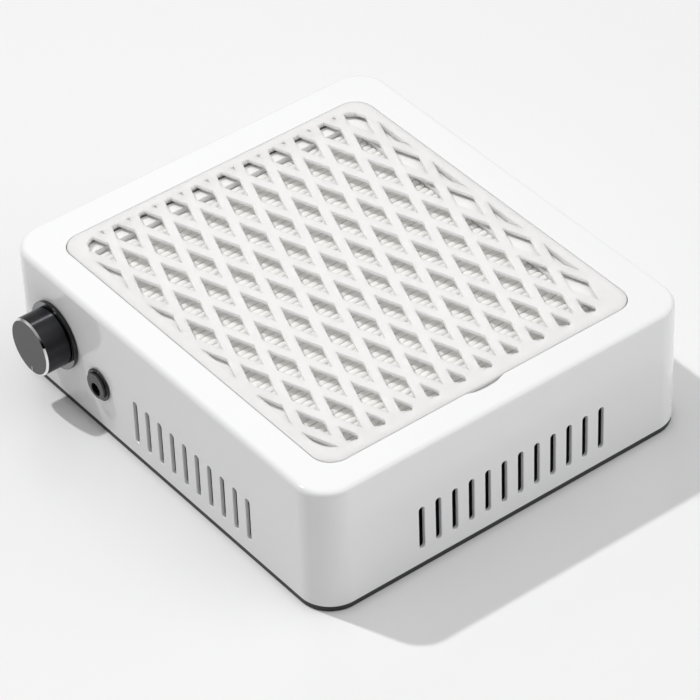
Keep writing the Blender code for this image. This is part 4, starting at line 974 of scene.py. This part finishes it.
def moulded_skin():
    """Moulded plastic: slow clouds in the colour, uneven polish, and a fine grain in relief."""
    group, given, out, place = new_group(
        "moulded_skin",
        [
            ("Colour", "Color", (0.8, 0.8, 0.8, 1)),
            ("Mottle", "Float", 0.02),
            ("Roughness", "Float", 0.3),
            ("Unevenness", "Float", 0.05),
            ("Grain Scale", "Float", 900.0),
            ("Grain Depth", "Float", 0.00001),
        ],
    )
    clouds = noise(group, Vector=place, Scale=CLOUDS, Detail=3.0)
    lowest = reckoned(group, "SUBTRACT", 1.0, given["Mottle"])
    highest = reckoned(group, "ADD", 1.0, given["Mottle"])
    feed(group, out["Colour"], toned(group, given["Colour"], spread(group, clouds, lowest, highest)))

    polish = noise(group, Vector=place, Scale=POLISH, Detail=4.0)
    off = reckoned(group, "SUBTRACT", polish, NOISE_MIDDLE)
    gloss = reckoned(group, "MULTIPLY_ADD", off, given["Unevenness"], given["Roughness"])
    feed(group, out["Roughness"], gloss)

    grain = noise(group, Vector=place, Scale=given["Grain Scale"], Detail=2.0)
    feed(group, out["Normal"], relief(group, grain, given["Grain Depth"]))
    return group


def spun_face():
    """Turned metal: fine rings about the dial's axis, in relief, tone and polish."""
    group, given, out, place = new_group(
        "spun_face",
        [
            ("Colour", "Color", (0.1, 0.1, 0.1, 1)),
            ("Roughness", "Float", 0.25),
            ("Axis Y", "Float", 0.0),
            ("Axis Z", "Float", 0.0),
            ("Ring Scale", "Float", 6000.0),
            ("Ring Depth", "Float", 0.00001),
        ],
    )
    split = add(group, "SeparateXYZ", Vector=place)
    squares = []
    for axis in ("Y", "Z"):
        off = reckoned(group, "SUBTRACT", split.outputs[axis], given[f"Axis {axis}"])
        squares.append(reckoned(group, "MULTIPLY", off, off))
    radius = reckoned(group, "SQRT", reckoned(group, "ADD", *squares))
    rings = noise(group, noise_dimensions="1D", W=radius, Scale=given["Ring Scale"], Detail=3.0)
    tone = spread(group, rings, *RING_TONES)
    feed(group, out["Colour"], toned(group, given["Colour"], tone))
    feed(group, out["Roughness"], reckoned(group, "MULTIPLY", given["Roughness"], tone))
    feed(group, out["Normal"], relief(group, rings, given["Ring Depth"]))
    return group


def fibre_mat():
    """Filter paper: matted fibres, soft creases as ridged noise, and faint clouds of thicker pulp."""
    group, given, out, place = new_group(
        "fibre_mat",
        [
            ("Colour", "Color", (0.8, 0.8, 0.78, 1)),
            ("Roughness", "Float", 0.7),
            ("Pulp", "Float", 0.08),
            ("Fibre Depth", "Float", 0.00004),
            ("Crease Depth", "Float", 0.0004),
        ],
    )
    fibres = noise(group, Vector=place, Scale=FIBRES, Detail=3.0, Distortion=1.5)
    creases = noise(group, noise_type="RIDGED_MULTIFRACTAL", Vector=place, Scale=CREASES, Detail=2.0)
    pulp = noise(group, Vector=place, Scale=PULP, Detail=3.0)
    tone = spread(group, pulp, reckoned(group, "SUBTRACT", 1.0, given["Pulp"]), 1.0)
    feed(group, out["Colour"], toned(group, given["Colour"], tone))
    feed(group, out["Roughness"], reckoned(group, "MULTIPLY", given["Roughness"], tone))
    creased = relief(group, creases, given["Crease Depth"])
    feed(group, out["Normal"], relief(group, fibres, given["Fibre Depth"], Normal=creased))
    return group


MOULDED = moulded_skin()
SPUN = spun_face()
FIBRE = fibre_mat()


def surface(name, group, values, along=None, **shader):
    """A material: one shared effect with its own values, feeding a Principled shader.

    A highlight that is drawn out runs along the direction given.
    """
    look = bpy.data.materials.new(name)
    look.use_nodes = True
    tree = look.node_tree
    principled = tree.nodes["Principled BSDF"]
    effect = tree.nodes.new("ShaderNodeGroup")
    effect.node_tree = group
    for label, value in values.items():
        effect.inputs[label].default_value = value
    for label, source in (("Base Color", "Colour"), ("Roughness", "Roughness"), ("Normal", "Normal")):
        tree.links.new(effect.outputs[source], principled.inputs[label])
    for key, value in shader.items():
        principled.inputs[key.replace("_", " ")].default_value = value
    if along:
        line = add(tree, "CombineXYZ", X=along[0], Y=along[1], Z=along[2])
        tree.links.new(line.outputs[0], principled.inputs["Tangent"])
    return look


def plastic(name, colour, roughness, mottle=0.02, wear=0.3, grain=(900.0, 0.000008), **shader):
    """Moulded plastic. The wear is a share of the roughness, and the grain a scale and a depth."""
    values = {
        "Colour": (*colour, 1),
        "Mottle": mottle,
        "Roughness": roughness,
        "Unevenness": roughness * wear,
        "Grain Scale": grain[0],
        "Grain Depth": grain[1],
    }
    return surface(name, MOULDED, values, **shader)


def metal(name, colour, roughness, axis, rings=(6000.0, 0.00001)):
    """Turned metal, with the y and z of its axis, and its rings' scale and depth."""
    values = {
        "Colour": (*colour, 1),
        "Roughness": roughness,
        "Axis Y": axis[0],
        "Axis Z": axis[1],
        "Ring Scale": rings[0],
        "Ring Depth": rings[1],
    }
    return surface(name, SPUN, values, Metallic=1.0)


def paper(name, colour, roughness):
    """Filter paper."""
    return surface(name, FIBRE, {"Colour": (*colour, 1), "Roughness": roughness})


DIAL_AXIS = middle("speed_knob")[1:]
CASE_WHITE = plastic("glossy_white_casing", (0.83, 0.83, 0.835), 0.1, mottle=0.01, grain=(420.0, 0.000001))
COVER_WHITE = plastic(
    "satin_white_cover",
    (0.868, 0.846, 0.837),
    0.3,
    mottle=0.012,
    Subsurface_Weight=1.0,
    Subsurface_Radius=(1.0, 1.0, 1.0),
    Subsurface_Scale=0.006,
)
FRAME_WHITE = plastic("white_filter_frame", (0.86, 0.86, 0.85), 0.45)
TRAY_WHITE = plastic("white_tray", (0.80, 0.80, 0.79), 0.5)
KNOB_BLACK = plastic(
    "turned_black_knob",
    (0.05, 0.05, 0.054),
    0.35,
    mottle=0.1,
    wear=0.05,
    grain=(900.0, 0.0000002),
    along=(1.0, 0.0, 0.0),
    Metallic=1.0,
    Anisotropic=1.0,
)
KNOB_FACE = metal("spun_dark_face", (0.078, 0.078, 0.08), 0.25, DIAL_AXIS, rings=(6000.0, 0.000003))
KNOB_EDGE = metal("bright_turned_edge", (0.85, 0.85, 0.85), 0.08, DIAL_AXIS, rings=(3000.0, 0.0000003))
MARK_WHITE = plastic("white_mark", (0.60, 0.60, 0.60), 0.4)
RING_DARK = metal("dark_chrome_ring", (0.22, 0.22, 0.225), 0.06, DIAL_AXIS, rings=(3000.0, 0.0000002))
RING_SIDE = plastic("black_ring_side", (0.006, 0.006, 0.006), 0.15, mottle=0.1)
INLET_GLOSS = plastic("glossy_black_inlet", (0.010, 0.010, 0.011), 0.1, mottle=0.1)
INLET_SATIN = plastic("satin_black_boss", (0.055, 0.055, 0.057), 0.35, mottle=0.06)
PAPER_WHITE = paper("filter_fleece", (0.965, 0.955, 0.94), 0.45)
BASE_BLACK = plastic("black_base", (0.02, 0.02, 0.02), 0.5, grain=(1600.0, 0.00003))
RUBBER = plastic("rubber", (0.015, 0.015, 0.015), 0.8, mottle=0.15, grain=(2500.0, 0.00005))
FAN_GREY = plastic("grey_impeller", (0.05, 0.05, 0.055), 0.4)
ZINC = metal("zinc_steel", (0.55, 0.56, 0.58), 0.35, (0.0, 0.0), rings=(2500.0, 0.00001))
STEEL = metal("bright_steel", (0.62, 0.62, 0.63), 0.22, DIAL_AXIS)
BRASS = metal("brass_pin", (0.72, 0.55, 0.25), 0.3, (0.0, 0.0), rings=(2500.0, 0.00001))
BOARD_GREEN = plastic("green_board", (0.02, 0.16, 0.07), 0.35, mottle=0.2)
RED_WIRE = plastic("red_insulation", (0.5, 0.02, 0.02), 0.45)
BLACK_WIRE = plastic("black_insulation", (0.02, 0.02, 0.02), 0.45)
CHIP_BLACK = plastic("black_component", (0.03, 0.03, 0.03), 0.5)


def numbered(stem, count):
    """The names of pieces that are counted from 1."""
    return [f"{stem}_{number}" for number in range(1, count + 1)]


def dress_frame():
    """Finishes of the CAD nodes that stay."""
    feet = ["foot_front_left", "foot_front_right", "foot_back_left", "foot_back_right"]
    screws = numbered("base_screw", 4) + numbered("tray_screw", 4) + numbered("mount_screw", 4)
    looks = [
        (TRAY_WHITE, ["filter_tray", "lead_connector"]),
        (BASE_BLACK, ["base_plate"]),
        (RUBBER, feet + numbered("vibration_damper", 4)),
        (FAN_GREY, ["impeller"]),
        (ZINC, screws + numbered("motor_screw", 2) + ["motor", "motor_mount", "potentiometer"]),
        (STEEL, ["impeller_nut", "motor_shaft", "pot_nut", "pot_shaft", "socket_nut"]),
        (BOARD_GREEN, ["control_board"]),
        (RED_WIRE, ["power_lead_red"]),
        (BLACK_WIRE, ["power_lead_black", "motor_lead"]),
        (CHIP_BLACK, ["motor_driver", "smoothing_capacitor"]),
    ]
    for look, nodes in looks:
        for name in nodes:
            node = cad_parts[name]
            for holder in node.material_slots:
                holder.link = "OBJECT"
                holder.material = look
            if not node.material_slots:
                node.data.materials.append(look)


# Floor, light and camera.


def floor():
    """A wide pale floor with a faint sheen."""
    half = FLOOR_SIZE / 2
    points = [(-half, -half, 0), (half, -half, 0), (half, half, 0), (-half, half, 0)]
    mesh = bpy.data.meshes.new("floor")
    mesh.from_pydata(points, [], [(0, 1, 2, 3)])
    made = bpy.data.objects.new("floor", mesh)
    bpy.context.scene.collection.objects.link(made)
    look = plastic("pale_floor", (0.79, 0.79, 0.79), 0.28, mottle=0.002, wear=0.02, grain=(900.0, 0.000001))
    mesh.materials.append(look)


def towards(azimuth, elevation):
    """The unit vector for a direction given in degrees."""
    a, e = math.radians(azimuth), math.radians(elevation)
    return math.sin(a) * math.cos(e), -math.cos(a) * math.cos(e), math.sin(e)


def key_lamp():
    """A small bright lamp whose light doesn't fade: its strength grows as it spreads.

    The even light on a floor at a distance d from a lamp of height h falls as h / d^3, so the strength,
    already freed of its fall with d^2, is multiplied by d / h.
    """
    lamp = bpy.data.lights.new("key_lamp", "POINT")
    lamp.shadow_soft_size = KEY_RADIUS
    lamp.energy = 1
    lamp.use_nodes = True
    tree = lamp.node_tree
    even = add(tree, "LightFalloff", Strength=KEY_LEVEL * 4 * math.pi).outputs["Constant"]
    growth = reckoned(tree, "DIVIDE", add(tree, "LightPath").outputs["Ray Length"], KEY_PLACE[2])
    feed(tree, tree.nodes["Emission"].inputs["Strength"], reckoned(tree, "MULTIPLY", growth, even))
    made = bpy.data.objects.new("key_lamp", lamp)
    made.location = KEY_PLACE
    bpy.context.scene.collection.objects.link(made)


def patch_of_light(tree, direction, azimuth, elevation, reach, level):
    """The level of a soft round patch, by how near a direction is to its middle."""
    facing = add(tree, "VectorMath", operation="DOT_PRODUCT")
    feed(tree, facing.inputs[0], direction)
    feed(tree, facing.inputs[1], towards(azimuth, elevation))
    patch = add(
        tree,
        "MapRange",
        interpolation_type="SMOOTHSTEP",
        Value=facing.outputs["Value"],
        From_Min=math.cos(math.radians(reach)),
        From_Max=1,
        To_Max=level,
    )
    return patch.outputs["Result"]


def studio():
    """A room whose brightness is a sum of patches. To the camera it has the floor's own tone."""
    world = bpy.data.worlds.new("studio")
    world.use_nodes = True
    bpy.context.scene.world = world
    tree = world.node_tree
    tree.nodes.clear()
    direction = add(tree, "TexCoord").outputs["Generated"]
    total = patch_of_light(tree, direction, *ROOM[0])
    for patch in ROOM[1:]:
        total = reckoned(tree, "ADD", total, patch_of_light(tree, direction, *patch))
    white = (1, 1, 1, 1)
    room = add(tree, "Background", Color=white, Strength=total)
    backdrop = add(tree, "Background", Color=white, Strength=BACKDROP_LEVEL)
    mix = add(tree, "MixShader", Fac=add(tree, "LightPath").outputs["Is Camera Ray"])
    feed(tree, mix.inputs[1], room.outputs[0])
    feed(tree, mix.inputs[2], backdrop.outputs[0])
    add(tree, "OutputWorld", Surface=mix.outputs[0])


def camera():
    """Looks at the target along the photograph's direction, and is rolled by its small tilt."""
    azimuth, roll = math.radians(CAMERA_AZIMUTH), math.radians(CAMERA_ROLL)
    back = np.array(towards(CAMERA_AZIMUTH, CAMERA_ELEVATION))
    right = np.array([math.cos(azimuth), math.sin(azimuth), 0])
    up = np.cross(back, right)
    tilted_right = math.cos(roll) * right + math.sin(roll) * up
    tilted_up = math.cos(roll) * up - math.sin(roll) * right
    place = np.array(TARGET) + back * CAMERA_DISTANCE
    pose = np.identity(4)
    pose[:3, 0], pose[:3, 1], pose[:3, 2], pose[:3, 3] = tilted_right, tilted_up, back, place
    lens = bpy.data.cameras.new("camera")
    lens.lens = CAMERA_LENS
    lens.sensor_width = CAMERA_SENSOR
    made = bpy.data.objects.new("camera", lens)
    made.matrix_world = Matrix(pose.tolist())
    bpy.context.scene.collection.objects.link(made)
    bpy.context.scene.camera = made


casing(CASE_WHITE)
lattice_cover(COVER_WHITE)
pleated_paper(PAPER_WHITE)
filter_rim(FRAME_WHITE)
knob(KNOB_BLACK, KNOB_FACE, KNOB_EDGE)
pointer(MARK_WHITE)
trim_ring(RING_DARK, RING_SIDE)
power_inlet(INLET_GLOSS, INLET_SATIN)
inlet_pin(BRASS)
# Painted shade: a black skirt darkens the gap under the walls.
painted_shade_skirt(BASE_BLACK)
dress_frame()
floor()
key_lamp()
studio()
camera()
bpy.context.scene.view_settings.view_transform = "Standard"

bpy.context.view_layer.update()
